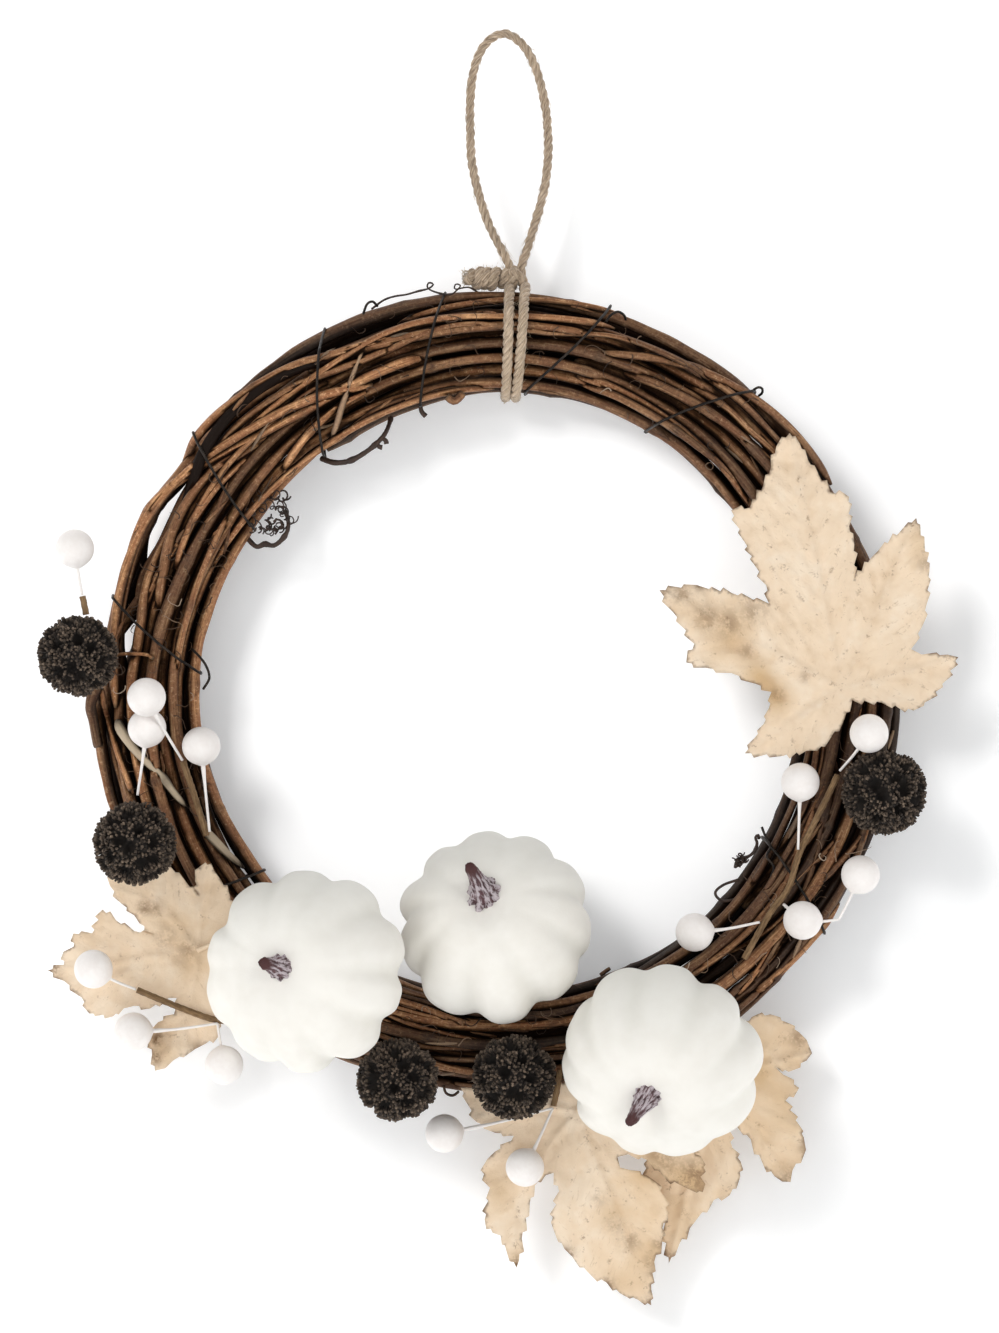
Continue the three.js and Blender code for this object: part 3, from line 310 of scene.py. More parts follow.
def leaf_material():
    leaf = Material("leaf_cloth", 0.78, Sheen_Weight=0.06)
    scratch = leaf.fibres(1.1, 0.22)
    colour = leaf.ramp(leaf.mottle(21.0), [
        (0.32, (0.79, 0.61, 0.43)), (0.48, (0.88, 0.71, 0.53)), (0.64, (0.92, 0.775, 0.61))])
    colour = leaf.over(colour, leaf.value("tan"), (0.66, 0.46, 0.26))
    colour = leaf.over(colour, leaf.ramp(scratch, [(0.60, 0.0), (0.73, 0.45)]), (0.50, 0.34, 0.20))
    for name, size, breaks, clamp, mark in (
            ("vein", 3.2, [(0.55, 0.0), (0.66, 0.8)], False, (0.33, 0.20, 0.11)),
            ("stain", 3.4, [(0.38, 0.28), (0.56, 1.0)], True, (0.20, 0.105, 0.045)),
            ("rim", 9.0, [(0.46, 0.08), (0.60, 0.9)], True, (0.16, 0.085, 0.042))):
        cover = leaf.times(leaf.value(name), leaf.ramp(leaf.mottle(size), breaks), clamp)
        colour = leaf.over(colour, cover, mark)
    colour = leaf.over(colour, leaf.times(leaf.value("under"), 0.75), (0.60, 0.42, 0.25))
    weave = leaf.noise(leaf.place(), 2.6, Detail=2.0)
    relief = leaf.plus(leaf.plus(leaf.times(scratch, 0.8), weave), leaf.times(leaf.mottle(9.0), 7.0))
    return leaf.painted(colour, relief, 0.4, 0.32)


def pumpkin_material():
    skin = Material("pumpkin_paint", 0.62)
    colour = skin.ramp(skin.mottle(26.0), [(0.34, (0.86, 0.835, 0.78)), (0.62, (0.90, 0.88, 0.83))])
    # Painted shade in the valleys between the lobes.
    colour = skin.over(colour, skin.times(skin.value("groove"), 0.30), (0.72, 0.71, 0.64))
    # Painted shade that greys the upper side of the pumpkin.
    colour = skin.over(colour, skin.times(skin.value("dusk"), 0.38), (0.69, 0.72, 0.69))
    return skin.painted(colour, skin.noise(skin.place(), 0.9, Detail=4.0, Roughness=0.6), 0.16, 0.35)


def pumpkin_stem_material():
    stem = Material("pumpkin_stem_paint", 0.55)
    streaks = stem.fibres(1.3, 0.30)
    brushed = stem.plus(stem.times(streaks, 1.35), stem.times(stem.value("ridge"), 0.26))
    colour = stem.ramp(stem.mottle(4.0), [(0.35, (0.040, 0.016, 0.018)), (0.65, (0.115, 0.050, 0.058))])
    colour = stem.over(colour, stem.ramp(brushed, [(0.66, 0.0), (0.92, 1.0)]), (0.50, 0.44, 0.47))
    colour = stem.over(colour, stem.value("tip"), (0.060, 0.012, 0.012))
    return stem.painted(colour, streaks, 0.8, 0.5)


def pod_material():
    pod = Material("pod_bristles", 0.85)
    # Painted shade: near-black at the feet of the bristles and in the pits, brown at their tips, partly the
    # pod's own colour.
    dark = pod.ramp(pod.mottle(3.0), [(0.35, (0.006, 0.004, 0.003)), (0.65, (0.014, 0.009, 0.006))])
    tips = pod.ramp(pod.noise(pod.place(), 0.9), [
        (0.35, (0.062, 0.043, 0.031)), (0.65, (0.225, 0.165, 0.118))])
    return pod.painted(pod.over(dark, pod.value("tip"), tips))


def berry_material():
    berry = Material("berry_paint", 0.5)
    colour = berry.ramp(berry.mottle(6.0), [(0.35, (0.895, 0.85, 0.825)), (0.65, (0.945, 0.91, 0.89))])
    return berry.painted(colour, berry.noise(berry.place(), 1.5, Detail=4.0), 0.2, 0.2)


def stage_material(name, colour, one_sided=False):
    paint = Material(name, 0.9, Emission_Strength=0.21, Emission_Color=(0.93, 0.96, 1.0),
                     Specular_IOR_Level=0.1)
    if one_sided:
        both = paint.add("MixShader", _0=paint.add("NewGeometry", None, "Backfacing"),
                         _1=paint.surface.outputs[0], _2=paint.add("BsdfTransparent"))
        paint.link(both, paint.tree.nodes["Material Output"].inputs["Surface"])
    return paint.painted(colour)


BARK = bark_material()
TENDRIL_WOOD = plain_wood_material("tendril_wood", (0.010, 0.005, 0.004), (0.060, 0.030, 0.018), 0.6)
SPRAY_PAPER = plain_wood_material("spray_paper", (0.105, 0.058, 0.024), (0.30, 0.185, 0.088), 0.8)
WIRE = wire_material()
JUTE = jute_material()
JUTE_HAIRS = fuzz_material()
ROOTLETS = rootlet_material()
LEAF = leaf_material()
PUMPKIN = pumpkin_material()
PUMPKIN_STEM = pumpkin_stem_material()
POD = pod_material()
BERRY = berry_material()


# Surfaces that grow point by point
class Skin:
    """Points, faces and values of each point, gathered for one mesh."""

    def __init__(self):
        self.points = []
        self.faces = []
        self.values = defaultdict(list)
        self.count = 0

    def add(self, points, faces, **values):
        points = np.asarray(points, float)
        self.points.append(points)
        self.faces.extend([[corner + self.count for corner in face] for face in faces])
        for name, value in values.items():
            size = (3,) if name == "grain" else ()
            value = np.asarray(value, float).reshape(-1, *size)
            self.values[name].append(np.broadcast_to(value, (len(points), *size)))
        self.count += len(points)

    def add_tube(self, path, radius, sides, start=0.0, **values):
        points, faces, grain = tube(path, radius, sides, start)
        self.add(points, faces, grain=grain, **values)

    def add_wire(self, path, radius, sides, **values):
        """A tube without grain, for the materials that don't use it."""
        points, faces, _ = tube(path, radius, sides)
        self.add(points, faces, **values)

    def build(self, name, material, slot, replaced=()):
        mesh = bpy.data.meshes.new(name)
        places = (np.concatenate(self.points) + RING_MIDDLE) * MM
        mesh.from_pydata(places.tolist(), [], self.faces)
        for value_name, parts in self.values.items():
            kind = "FLOAT_VECTOR" if value_name == "grain" else "FLOAT"
            made = mesh.attributes.new(value_name, kind, "POINT")
            made.data.foreach_set("vector" if kind == "FLOAT_VECTOR" else "value",
                                  np.concatenate(parts).astype(np.float32).ravel())
        mesh.materials.append(material)
        mesh.shade_smooth()
        mesh.update()
        piece = bpy.data.objects.new(name, mesh)
        bpy.context.collection.objects.link(piece)
        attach(piece, "root")
        if replaced:
            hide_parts(*replaced)
        return piece


def unit(vectors):
    return vectors / np.maximum(np.linalg.norm(vectors, axis=-1, keepdims=True), 1e-9)


def hump(distance, width):
    """One at no distance, which falls off softly over the width."""
    return np.exp(-(distance / width) ** 2)


def spot(places, x, z, width):
    """A round hump about a place."""
    return hump(np.hypot(places[:, 0] - x, places[:, 1] - z), width)


def from_ends(length):
    """How far each point of a path is from the nearer end."""
    return np.minimum(length, length[-1] - length)


def ring_faces(rows, sides):
    """The faces between rings of points that follow each other."""
    return [[i * sides + k, i * sides + (k + 1) % sides, (i + 1) * sides + (k + 1) % sides,
             (i + 1) * sides + k] for i in range(rows - 1) for k in range(sides)]


def across_path(path):
    """A path's direction and two across it, which turn with it as little as they can."""
    along = unit(np.gradient(path, axis=0))
    first = np.cross(along[0], [0.31, 0.9, 0.3])
    side = np.empty_like(path)
    side[0] = first / np.linalg.norm(first)
    for i in range(1, len(path)):
        turned = side[i - 1] - along[i] * np.dot(side[i - 1], along[i])
        side[i] = turned / np.linalg.norm(turned)
    return along, side, np.cross(along, side)


def lengths_along(path):
    return np.concatenate([[0], np.cumsum(np.linalg.norm(np.diff(path, axis=0), axis=1))])


def tube(path, radius, sides, start=0.0):
    """A closed round skin: the radius is a number, one for each point, or one for each point and side."""
    path = np.asarray(path, float)
    along, side, other = across_path(path)
    count = len(path)
    radius = np.asarray(radius, float)
    radius = np.broadcast_to(radius.reshape(-1, 1) if radius.ndim < 2 else radius, (count, sides))
    round_ = np.arange(sides) / sides * TURN
    out = side[:, None] * np.cos(round_)[None, :, None] + other[:, None] * np.sin(round_)[None, :, None]
    points = (path[:, None] + out * radius[:, :, None]).reshape(-1, 3)
    length = lengths_along(path) + start
    grain = np.stack([radius * np.cos(round_), radius * np.sin(round_),
                      np.broadcast_to(length[:, None], (count, sides))], axis=-1).reshape(-1, 3)
    faces = ring_faces(count, sides)
    faces.append(list(range(sides))[::-1])
    faces.append(list(range((count - 1) * sides, count * sides)))
    return points, faces, grain


def at_lengths(at, length, points):
    """The places on a path at some lengths along it."""
    return np.stack([np.interp(at, length, column) for column in points.T], axis=1)


def smooth_path(points, step):
    """A path through the given points at even steps, rounded like a bent cane."""
    points = np.asarray(points, float)
    if len(points) > 2:
        ends = np.vstack([2 * points[0] - points[1], points, 2 * points[-1] - points[-2]])
        rows = []
        for i in range(1, len(ends) - 2):
            p0, p1, p2, p3 = ends[i - 1:i + 3]
            t = np.linspace(0, 1, 9)[:-1, None]
            rows.append(0.5 * (2 * p1 + (p2 - p0) * t + (2 * p0 - 5 * p1 + 4 * p2 - p3) * t ** 2
                               + (3 * p1 - p0 - 3 * p2 + p3) * t ** 3))
        points = np.vstack(rows + [points[-1:]])
    length = lengths_along(points)
    steps = max(2, int(round(length[-1] / step)) + 1)
    return at_lengths(np.linspace(0, length[-1], steps), length, points)


def blur(values, width):
    """A list of values smoothed over some of its neighbours, with its ends kept."""
    if width < 2:
        return values
    kernel = np.ones(width) / width
    padded = np.concatenate([np.full(width, values[0]), values, np.full(width, values[-1])])
    return np.convolve(padded, kernel, "same")[width:-width]


def ring_point(degrees, distance, depth):
    angle = np.radians(degrees)
    return np.stack([distance * np.sin(angle), depth + 0 * angle, distance * np.cos(angle)], axis=-1)


# Canes
MEAN_DISTANCE = 131
CANES = ["vine_cane_%d" % (i + 1) for i in range(11)]
RUNNERS = ["vine_runner_left", "vine_runner_dark", "vine_runner_right"]


def strand_of(node):
    """A cane's middle line from the rings of corners of its solid: angle, distance, depth, radius."""
    mesh = bpy.data.objects[node].data
    corner_at, corners, index = {}, [], []
    for vertex in mesh.vertices:
        key = tuple(round(c, 6) for c in vertex.co)
        if key not in corner_at:
            corner_at[key] = len(corners)
            corners.append(np.array(vertex.co) * 1000 - RING_MIDDLE)
        index.append(corner_at[key])
    angle = [math.atan2(c[0], c[2]) for c in corners]
    leader = list(range(len(corners)))

    def lead(i):
        while leader[i] != i:
            i = leader[i]
        return i

    links = []
    for face in mesh.polygons:
        ids = [index[v] for v in face.vertices]
        for a, b in zip(ids, ids[1:] + ids[:1]):
            if abs((angle[a] - angle[b] + math.pi) % TURN - math.pi) < 0.005:
                leader[lead(a)] = lead(b)
            else:
                links.append((a, b))
    rings, beside = defaultdict(list), defaultdict(set)
    for i in range(len(corners)):
        rings[lead(i)].append(i)
    for a, b in links:
        beside[lead(a)].add(lead(b))
        beside[lead(b)].add(lead(a))
    order = [min(ring for ring in rings if len(beside[ring]) == 1)]
    while len(order) < len(rings):
        order.append(next(ring for ring in beside[order[-1]] if len(order) < 2 or ring != order[-2]))
    middles = np.array([np.mean([corners[i] for i in rings[ring]], axis=0) for ring in order])
    radius = np.median([np.linalg.norm(corners[i] - middles[1]) for i in rings[order[1]]])
    bare = np.unwrap(np.arctan2(middles[:, 0], middles[:, 2]))
    if bare[-1] < bare[0]:
        middles, bare = middles[::-1], bare[::-1]
    distance = np.hypot(middles[:, 0], middles[:, 2])
    return {"angle": bare, "distance": distance, "depth": middles[:, 1], "radius": float(radius)}


# Gaps that show the wall between the outer canes: degrees and distance where each starts and where it
# ends, and its width.
SLITS = [(290.0, 145.0, 302.5, 146.0, 3.6), (273.0, 143.4, 286.0, 144.4, 3.4)]


def part_at_slits(strand):
    """Canes near a slit bow away from it, as seen from the front."""
    degrees = np.degrees(strand["angle"]) % 360
    for first, near, last, far, width in SLITS:
        within = np.clip((degrees - first) / (last - first), 0, 1)
        open_ = np.sin(math.pi * within) ** 0.7
        middle = (near + (far - near) * within) * (1 + strand["depth"] / CAMERA_AWAY)
        aside = strand["distance"] - middle
        reach = strand["radius"] * 1.1 + width / 2
        push = np.where(aside >= 0, 1, -1) * np.maximum(0, reach - np.abs(aside)) * open_
        strand["distance"] = strand["distance"] + blur(push, 5)


def finer(strand, degrees, wander, seed):
    """The same cane in small steps, rounded, with the small bends that a vine has at its joints."""
    step = math.radians(degrees)
    angle = np.arange(strand["angle"][0], strand["angle"][-1], step)
    window = max(2, int(round(math.radians(9) / step)))
    random_ = random.Random(seed)
    fine = {"angle": angle, "radius": strand["radius"] * random_.uniform(0.72, 0.86)}
    length = (angle - angle[0]) * MEAN_DISTANCE
    joints, at = [], random_.uniform(5, 40)
    while at < length[-1]:
        joints.append(at)
        at += random_.uniform(48, 95)
    for key, amount in (("distance", wander), ("depth", 0.6 * wander)):
        line = np.interp(angle, strand["angle"], strand[key])
        bends = np.interp(length, [0, *joints, length[-1] + 1],
                          [0, *[random_.uniform(-amount, amount) for _ in joints], 0])
        fine[key] = blur(blur(line, window), window) + blur(bends, 4)
    part_at_slits(fine)
    return fine, joints, length


def random_along(length, apart, beyond, low, high, random_):
    """A value that changes along a path, with a random one at every step of it and beyond its end."""
    steps = np.arange(0, length[-1] + beyond, apart)
    return np.interp(length, steps, [random_.uniform(low, high) for _ in steps])


def crossings(strands, angle):
    """Distance, depth and radius of every turn that crosses the half plane at an angle."""
    found = []
    for strand in strands:
        first, last = strand["angle"][0], strand["angle"][-1]
        at = first + ((angle - first) % TURN)
        while at <= last:
            found.append((np.interp(at, strand["angle"], strand["distance"]),
                          np.interp(at, strand["angle"], strand["depth"]), strand["radius"]))
            at += TURN
    return np.array(found)


def strand_path(strand):
    return ring_point(np.degrees(strand["angle"]), strand["distance"], strand["depth"])


def add_bark(skin, path, radius, seed, tone, joints=(), sides=14, taper=0.0, grey=0.0, rough=1.0,
             dark=0.0, slim=0.0):
    """A cane's bark: ridges that wind slowly round it, swollen joints, and a rough cut at each end."""
    random_ = random.Random(seed)
    length = lengths_along(path)
    count = len(path)
    round_ = np.arange(sides) / sides * TURN
    s, phi = length[:, None], round_[None, :]
    relief = np.zeros((count, sides))
    for k, strength in ((1, 0.03), (2, 0.036), (3, 0.03), (4, 0.02), (5, 0.016)):
        for wave in (140, 47, 19):
            wind = TURN / (wave * random_.uniform(0.7, 1.4)) * random_.choice((-1, 1))
            relief += strength * rough * (wave / 140) ** 0.35 * np.sin(
                k * phi + wind * s + random_.uniform(0, TURN))
    thickness = np.ones(count)
    for wave, amount in ((150, 0.06), (60, 0.035), (23, 0.02)):
        wave *= random_.uniform(0.8, 1.3)
        thickness += amount * np.sin(TURN * length / wave + random_.uniform(0, 6))
    knob = np.zeros(count)
    for joint in joints:
        knob += random_.uniform(0.5, 1) * hump(length - joint, random_.uniform(1.6, 2.6))
    thickness += 0.26 * knob
    if taper:
        thickness *= 1 - taper * length / length[-1]
    end = from_ends(length)
    thickness *= 0.86 + 0.14 * np.clip(end / 1.2, 0, 1)
    if slim:
        thickness *= 1 - 0.55 * (1 - np.clip(end / slim, 0, 1)) ** 1.5
    points, faces, grain = tube(path, radius * thickness[:, None] * (0.96 + relief), sides,
                                start=random_.uniform(0, 900))
    drift = random_along(length, 60, 120, -0.24, 0.24, random_)
    # Painted light: canes towards the upper left of the ring get a lighter tone, those towards the lower
    # right a darker one.
    painted_light_upper_left = 0.20 * np.cos(np.arctan2(path[:, 0], path[:, 2]) - math.radians(290))
    # Painted light and shade: the side of each cane that looks out of the bundle is painted lighter and its
    # other sides darker.
    bundle = unit(path * [1, 0, 1]) * BUNDLE_MIDDLE
    away = (path - bundle) * [0.6, 1, 0.6]
    away[:, 1] += 6 * np.tanh(path[:, 1] / 3)
    out = unit(points - np.repeat(path, sides, axis=0))
    crest = 0.5 + 0.5 * (out * np.repeat(unit(away), sides, axis=0)).sum(axis=1)
    tone, dark, cut = [np.repeat(np.clip(value, 0, 1), sides)
                       for value in (tone + drift + painted_light_upper_left, dark + 0.55 * knob, 1 - end / 0.5)]
    skin.add(points, faces, grain=grain, tone=tone, crest=crest, dark=dark, cut=cut, grey=grey)


def add_canes():
    made, pieces = [], []
    for i, node in enumerate(CANES + RUNNERS):
        strand, joints, length = finer(strand_of(node), 1.15, 0.35 if node in RUNNERS else 0.75, 40 + i)
        dark = node == "vine_runner_dark"
        end, depth = from_ends(length), strand["depth"]
        if dark:
            strand["depth"] = depth + 3.5 + 9 * hump(end, 12)
        else:
            strand["depth"] = depth + 3.5 * hump(end, 8) * np.clip((5 - depth) / 10, 0, 1)
        made.append(strand)
        skin = Skin()
        tone = {"vine_runner_left": 0.78, "vine_runner_dark": 0.20, "vine_runner_right": 0.62}.get(
            node, random.Random(700 + i).uniform(0.30, 0.75))
        add_bark(skin, strand_path(strand), strand["radius"], 90 + i, tone, joints, dark=float(dark),
                 slim=8.0)
        pieces.append(skin.build(node.replace("vine_", "bark_"), BARK, "vine", [node]))
    return made, pieces


def laid_on(strands, path, radius, step=2.0):
    """A path of angles and distances laid on the front of the canes, which it bridges."""
    points = smooth_path([(a, 0, d) for a, d in path], 1.0)
    arc = lengths_along(np.stack([np.radians(points[:, 0]) * points[:, 2], points[:, 2]], axis=1))
    at = np.arange(0, arc[-1], step)
    degrees = np.interp(at, arc, points[:, 0])
    distance = np.interp(at, arc, points[:, 2])
    depth = np.empty(len(at))
    for i, (angle, far) in enumerate(zip(degrees, distance)):
        depth[i] = min(14.0, *(front_depth(strands, angle + near, far, radius, 0.98, 14.0)
                               for near in (-0.8, 0, 0.8)))
    for _ in range(90):
        depth[1:-1] = np.minimum(depth[1:-1], (depth[:-2] + depth[2:]) / 2)
    depth = np.maximum(blur(depth, 3), [front_limit(angle % 360) + radius for angle in degrees])
    depth += 8 * hump(from_ends(at), 6.5)
    return {"angle": np.radians(degrees), "distance": distance, "depth": blur(depth, 5), "radius": radius}


def front_limit(degrees):
    """How far forward a cane may lie without touching the leaves, pods and sprays on the ring."""
    return float(np.interp(degrees, [0, 38, 46, 102, 112, 236, 290, 300, 360],
                           [-20.5, -20.5, -14.5, -14.5, -15.5, -15.5, -16.5, -20.5, -20.5]))


# Thin canes laid over the front of the ring where the photo shows them: radius, tone, grey, and the angle
# and distance of each place that it goes through.
LAID_CANES = [
    (2.4, 0.60, 0.0, [(283, 133), (291, 136.5), (298, 138.8), (306, 138.2), (313, 134), (320, 130.5),
                      (328, 128)]),
    (2.3, 0.62, 0.0, [(329, 142), (337, 140), (344, 138.5), (352, 138), (6, 138.5), (16, 139)]),
    (2.0, 0.80, 0.0, [(306, 149.6), (313.4, 150), (322.5, 147.8), (328, 145.9), (332, 143.3), (338, 141),
                      (350, 139)]),
    (2.3, 0.95, 0.0, [(277, 147.2), (281, 147.8), (287, 148.6), (292, 149.5), (297, 149.8), (302, 146.8),
                      (307, 142.2), (311.2, 138.4), (316.5, 133.8), (321, 131.6), (327, 129.6),
                      (336, 129.4), (348, 130.5)]),
    (1.6, 0.95, 0.0, [(315, 118), (319, 120.4), (324, 122.6), (330, 124.4), (337, 125)]),
    (1.4, 0.75, 0.35, [(326, 116), (328.3, 119.3), (332.5, 127.5), (336.3, 135.9), (338, 140)]),
    (2.5, 0.45, 0.0, [(270.5, 153.6), (264, 153.4), (256, 153.6), (247, 152)]),
    (1.7, 0.80, 0.0, [(13, 123), (24, 121.5), (38, 119), (54, 117)]),
    (1.6, 0.75, 0.0, [(276, 142.5), (285, 139), (297, 134), (309, 132), (322, 128)]),
    (1.5, 0.70, 0.0, [(344, 146), (354, 147.5), (5, 149), (18, 150)]),
    (1.5, 0.45, 0.2, [(126, 146), (133, 139), (141, 130)]),
    (1.6, 0.60, 0.0, [(121, 134), (131, 138), (141, 144)]),
    (1.9, 0.65, 0.0, [(20, 129), (38, 131), (55, 134), (70, 133)]),
    (1.6, 0.80, 0.0, [(268, 126), (280, 123), (293, 122.5), (305, 124)]),
    (1.5, 0.60, 0.0, [(256, 137), (266, 135), (276, 131), (288, 128)]),
    (1.7, 0.35, 0.0, [(95, 127), (108, 124), (120, 122), (132, 124)]),
    (1.6, 0.45, 0.0, [(148, 136), (162, 139), (178, 137), (194, 140)]),
    (1.5, 0.55, 0.0, [(160, 146), (176, 147), (190, 148)]),
    (1.6, 0.90, 0.0, [(104, 147), (111, 145), (118, 140), (124, 136), (133, 133), (140, 129)]),
    (1.5, 0.80, 0.0, [(106, 140), (112.6, 137), (121, 131), (127, 130), (134, 126)]),
    (1.5, 1.00, 0.0, [(125, 136), (132, 137.5), (138, 141), (145, 144)]),
    (1.9, 0.90, 0.0, [(122, 149), (130, 147.5), (136, 147), (144, 146)]),
    (1.4, 0.70, 0.0, [(102, 133), (110, 130), (119, 125), (128, 121)]),
    (2.0, 0.62, 0.85, [(266.5, 146.5), (262, 141), (257, 133), (250, 126.5)]),
    (1.9, 0.58, 0.80, [(247, 124.5), (242, 121), (236, 118.5)]),
    (1.7, 0.50, 0.0, [(14, 120.5), (24, 118.9), (31, 118.2), (40, 118), (50, 119)]),
    (1.7, 0.60, 0.0, [(30, 135), (38, 136), (43, 135.3), (48, 136.2), (56, 137)]),
    (1.7, 0.40, 0.0, [(90, 117), (98, 117), (107, 116.9), (116, 116.7), (123, 117), (130, 118.2)]),
    (1.7, 0.45, 0.0, [(88, 121.8), (97, 122), (106, 122.4), (116, 122)]),
    (1.6, 0.50, 0.0, [(32, 141.4), (39, 141.2), (45, 140.6), (50, 140.4), (56, 140.8)]),
    (1.7, 0.45, 0.0, [(130, 140.4), (138, 140.8), (143, 141.3), (150, 141.8)]),
    (1.5, 0.35, 0.0, [(133, 134.6), (139, 135.1), (144, 134.9), (150, 135.2)]),
    (1.5, 0.40, 0.0, [(137, 146.6), (143, 147.2), (150, 146.8)]),
    (1.6, 0.50, 0.0, [(93, 118.5), (101, 119.5), (110, 120.5), (121, 119)]),
    (1.5, 0.60, 0.0, [(91, 124), (101, 125.5), (113, 124.5)]),
]


def loose_canes():
    """More thin canes wherever the ring shows, listed in the same way."""
    random_ = random.Random(23)
    found = []
    for first, last, number in ((283, 398, 7), (100, 138, 3), (150, 215, 7)):
        for _ in range(number):
            span = random_.uniform(28, 75)
            start = random_.uniform(first, max(first + 1, last - span))
            away = random_.uniform(117, 148)
            rows = []
            for k in range(5):
                rows.append((start + span * k / 4, away))
                away = min(150, max(115, away + random_.uniform(-4.5, 4.5)))
            found.append((random_.uniform(1.3, 1.9), random_.uniform(0.35, 0.85), 0.0, rows))
    return found


def add_laid_canes(strands):
    skin, made = Skin(), []
    for i, (radius, tone, grey, path) in enumerate(loose_canes() + LAID_CANES):
        path = [(a + (360 if a < path[0][0] - 180 else 0), d) for a, d in path]
        strand = laid_on(strands + made, path, radius)
        if grey > 0.5:
            strand["depth"] = strand["depth"] - 1.3
        part_at_slits(strand)
        made.append(strand)
        line = smooth_path(strand_path(strand), 2.2)
        joints = [random.Random(i).uniform(15, 60), random.Random(i).uniform(75, 130)]
        add_bark(skin, line, radius, 400 + i, tone, joints, 9, taper=0.25, grey=grey, rough=1.2, slim=11.0)
    return made, skin.build("laid_canes", BARK, "vine")


# Broken ends of twigs and flakes: radius, tone, darkness and places across and up.
TWIGS = [
    (0.85, 0.95, 0.0, [(-146.3, 14.8), (-139.8, 15.2), (-134.1, 14.8), (-131.5, 13.3)]),
    (1.30, 0.20, 0.6, [(-126.6, -63.7), (-122.8, -70.5), (-119.0, -76.2), (-116.7, -78.1)]),
    (1.60, 0.60, 0.0, [(-21.5, 111.5), (-18.6, 109.9), (-15.2, 112.9)]),
    (0.90, 0.60, 0.0, [(36.4, -106.5), (40.2, -103.8)]),
    (0.55, 0.30, 0.5, [(-22.8, -147.5), (-21.8, -150.4), (-19.2, -151.2), (-17, -149.6)]),
    (2.40, 0.30, 0.3, [(-152.6, 3.0), (-154.4, -1.0), (-155.2, -5.5), (-154.2, -12), (-152.6, -20)]),
    (1.40, 0.80, 0.0, [(-151.4, 2), (-149.6, -8), (-146, -20), (-142.4, -30), (-140.2, -36)]),
]


def add_twigs(strands):
    skin = Skin()
    for i, (radius, tone, dark, places) in enumerate(TWIGS):
        flat = smooth_path([(x, 0, z) for x, z in places], 1.0)
        degrees = np.degrees(np.arctan2(flat[:, 0], flat[:, 2]))
        away = np.hypot(flat[:, 0], flat[:, 2])
        depth = [front_depth(strands, a, d, radius) for a, d in zip(degrees, np.clip(away, 115, 149))]
        flat[:, 1] = blur(np.minimum(depth, -2.0), 5)
        add_bark(skin, flat, radius, 800 + i, tone, sides=8, rough=1.6, dark=dark)
    return skin.build("twigs", BARK, "vine")


def paint_gap_shade(pieces, reach):
    """Painted shade for the gaps between canes: how far the canes close in at each point."""
    places, normals, faces, counts = [], [], [], []
    for piece in pieces:
        mesh = piece.data
        count = len(mesh.vertices)
        place, normal = np.empty(count * 3), np.empty(count * 3)
        mesh.vertices.foreach_get("co", place)
        mesh.vertices.foreach_get("normal", normal)
        start = sum(counts)
        faces += [[corner + start for corner in face.vertices] for face in mesh.polygons]
        places.append(place.reshape(-1, 3) / MM)
        normals.append(normal.reshape(-1, 3))
        counts.append(count)
    places, normals = np.concatenate(places), np.concatenate(normals)
    tree = BVHTree.FromPolygons(places.tolist(), faces)
    side = unit(np.cross(normals, [0.3, 0.9, 0.25]))
    other = np.cross(normals, side)
    closed = np.zeros(len(places))
    for lean in (normals, normals + side, normals - side, normals + other, normals - other):
        way = unit(lean)
        start = (places + normals * 0.12).tolist()
        for i, (place, towards) in enumerate(zip(start, way.tolist())):
            hit = tree.ray_cast(place, towards, reach)[3]
            if hit is not None:
                closed[i] += 0.2 * (1 - 0.55 * hit / reach)
    at = 0
    for piece, count in zip(pieces, counts):
        made = piece.data.attributes.new("shelter", "FLOAT", "POINT")
        made.data.foreach_set("value", closed[at:at + count].astype(np.float32))
        at += count


def front_depth(strands, degrees, distance, radius, bared=1.0, nothing=0.0):
    """How far forward a thin thing of a radius lies on the ring's front, or nothing off the canes."""
    cane = crossings(strands, math.radians(degrees))
    aside = np.abs(cane[:, 0] - distance)
    reach = cane[:, 2] * bared + radius
    close = aside < reach
    if not close.any():
        return nothing
    return float(np.min(cane[close, 1] - np.sqrt(reach[close] ** 2 - aside[close] ** 2)))


def add_shreds(strands):
    """Loose strips of bark."""
    random_ = random.Random(5)
    skin = Skin()
    for _ in range(70):
        degrees = random_.choice([random_.uniform(250, 420), random_.uniform(90, 250)])
        distance = random_.uniform(114, 150)
        width, length = random_.uniform(0.7, 2.0), random_.uniform(5, 15)
        lift, turn = random_.uniform(0.2, 2.6), random_.uniform(-0.30, 0.30)
        path = []
        for t in np.linspace(0, 1, 7):
            at = degrees + math.degrees(t * length / distance)
            away = distance + turn * t * length
            front = front_depth(strands, at, away, 0.1)
            if front == 0:
                break
            path.append(ring_point(at, away, front - 0.1 - lift * t ** 2.2))
        if len(path) < 7:
            continue
        path = np.array(path)
        path[:, 1] = blur(path[:, 1], 3)
        wide = width / 2 * np.sin(np.linspace(0.5, 3.0, 7))
        radius = np.stack([wide, wide * 0 + 0.12, wide, wide * 0 + 0.12], axis=1)
        skin.add_tube(path, radius, 4, start=random_.uniform(0, 500), tone=random_.uniform(0.25, 0.8),
                      dark=0, cut=0, shelter=0, crest=0.85, grey=random_.choice([0, 0, 0.4]))
    skin.build("bark_shreds", BARK, "vine")


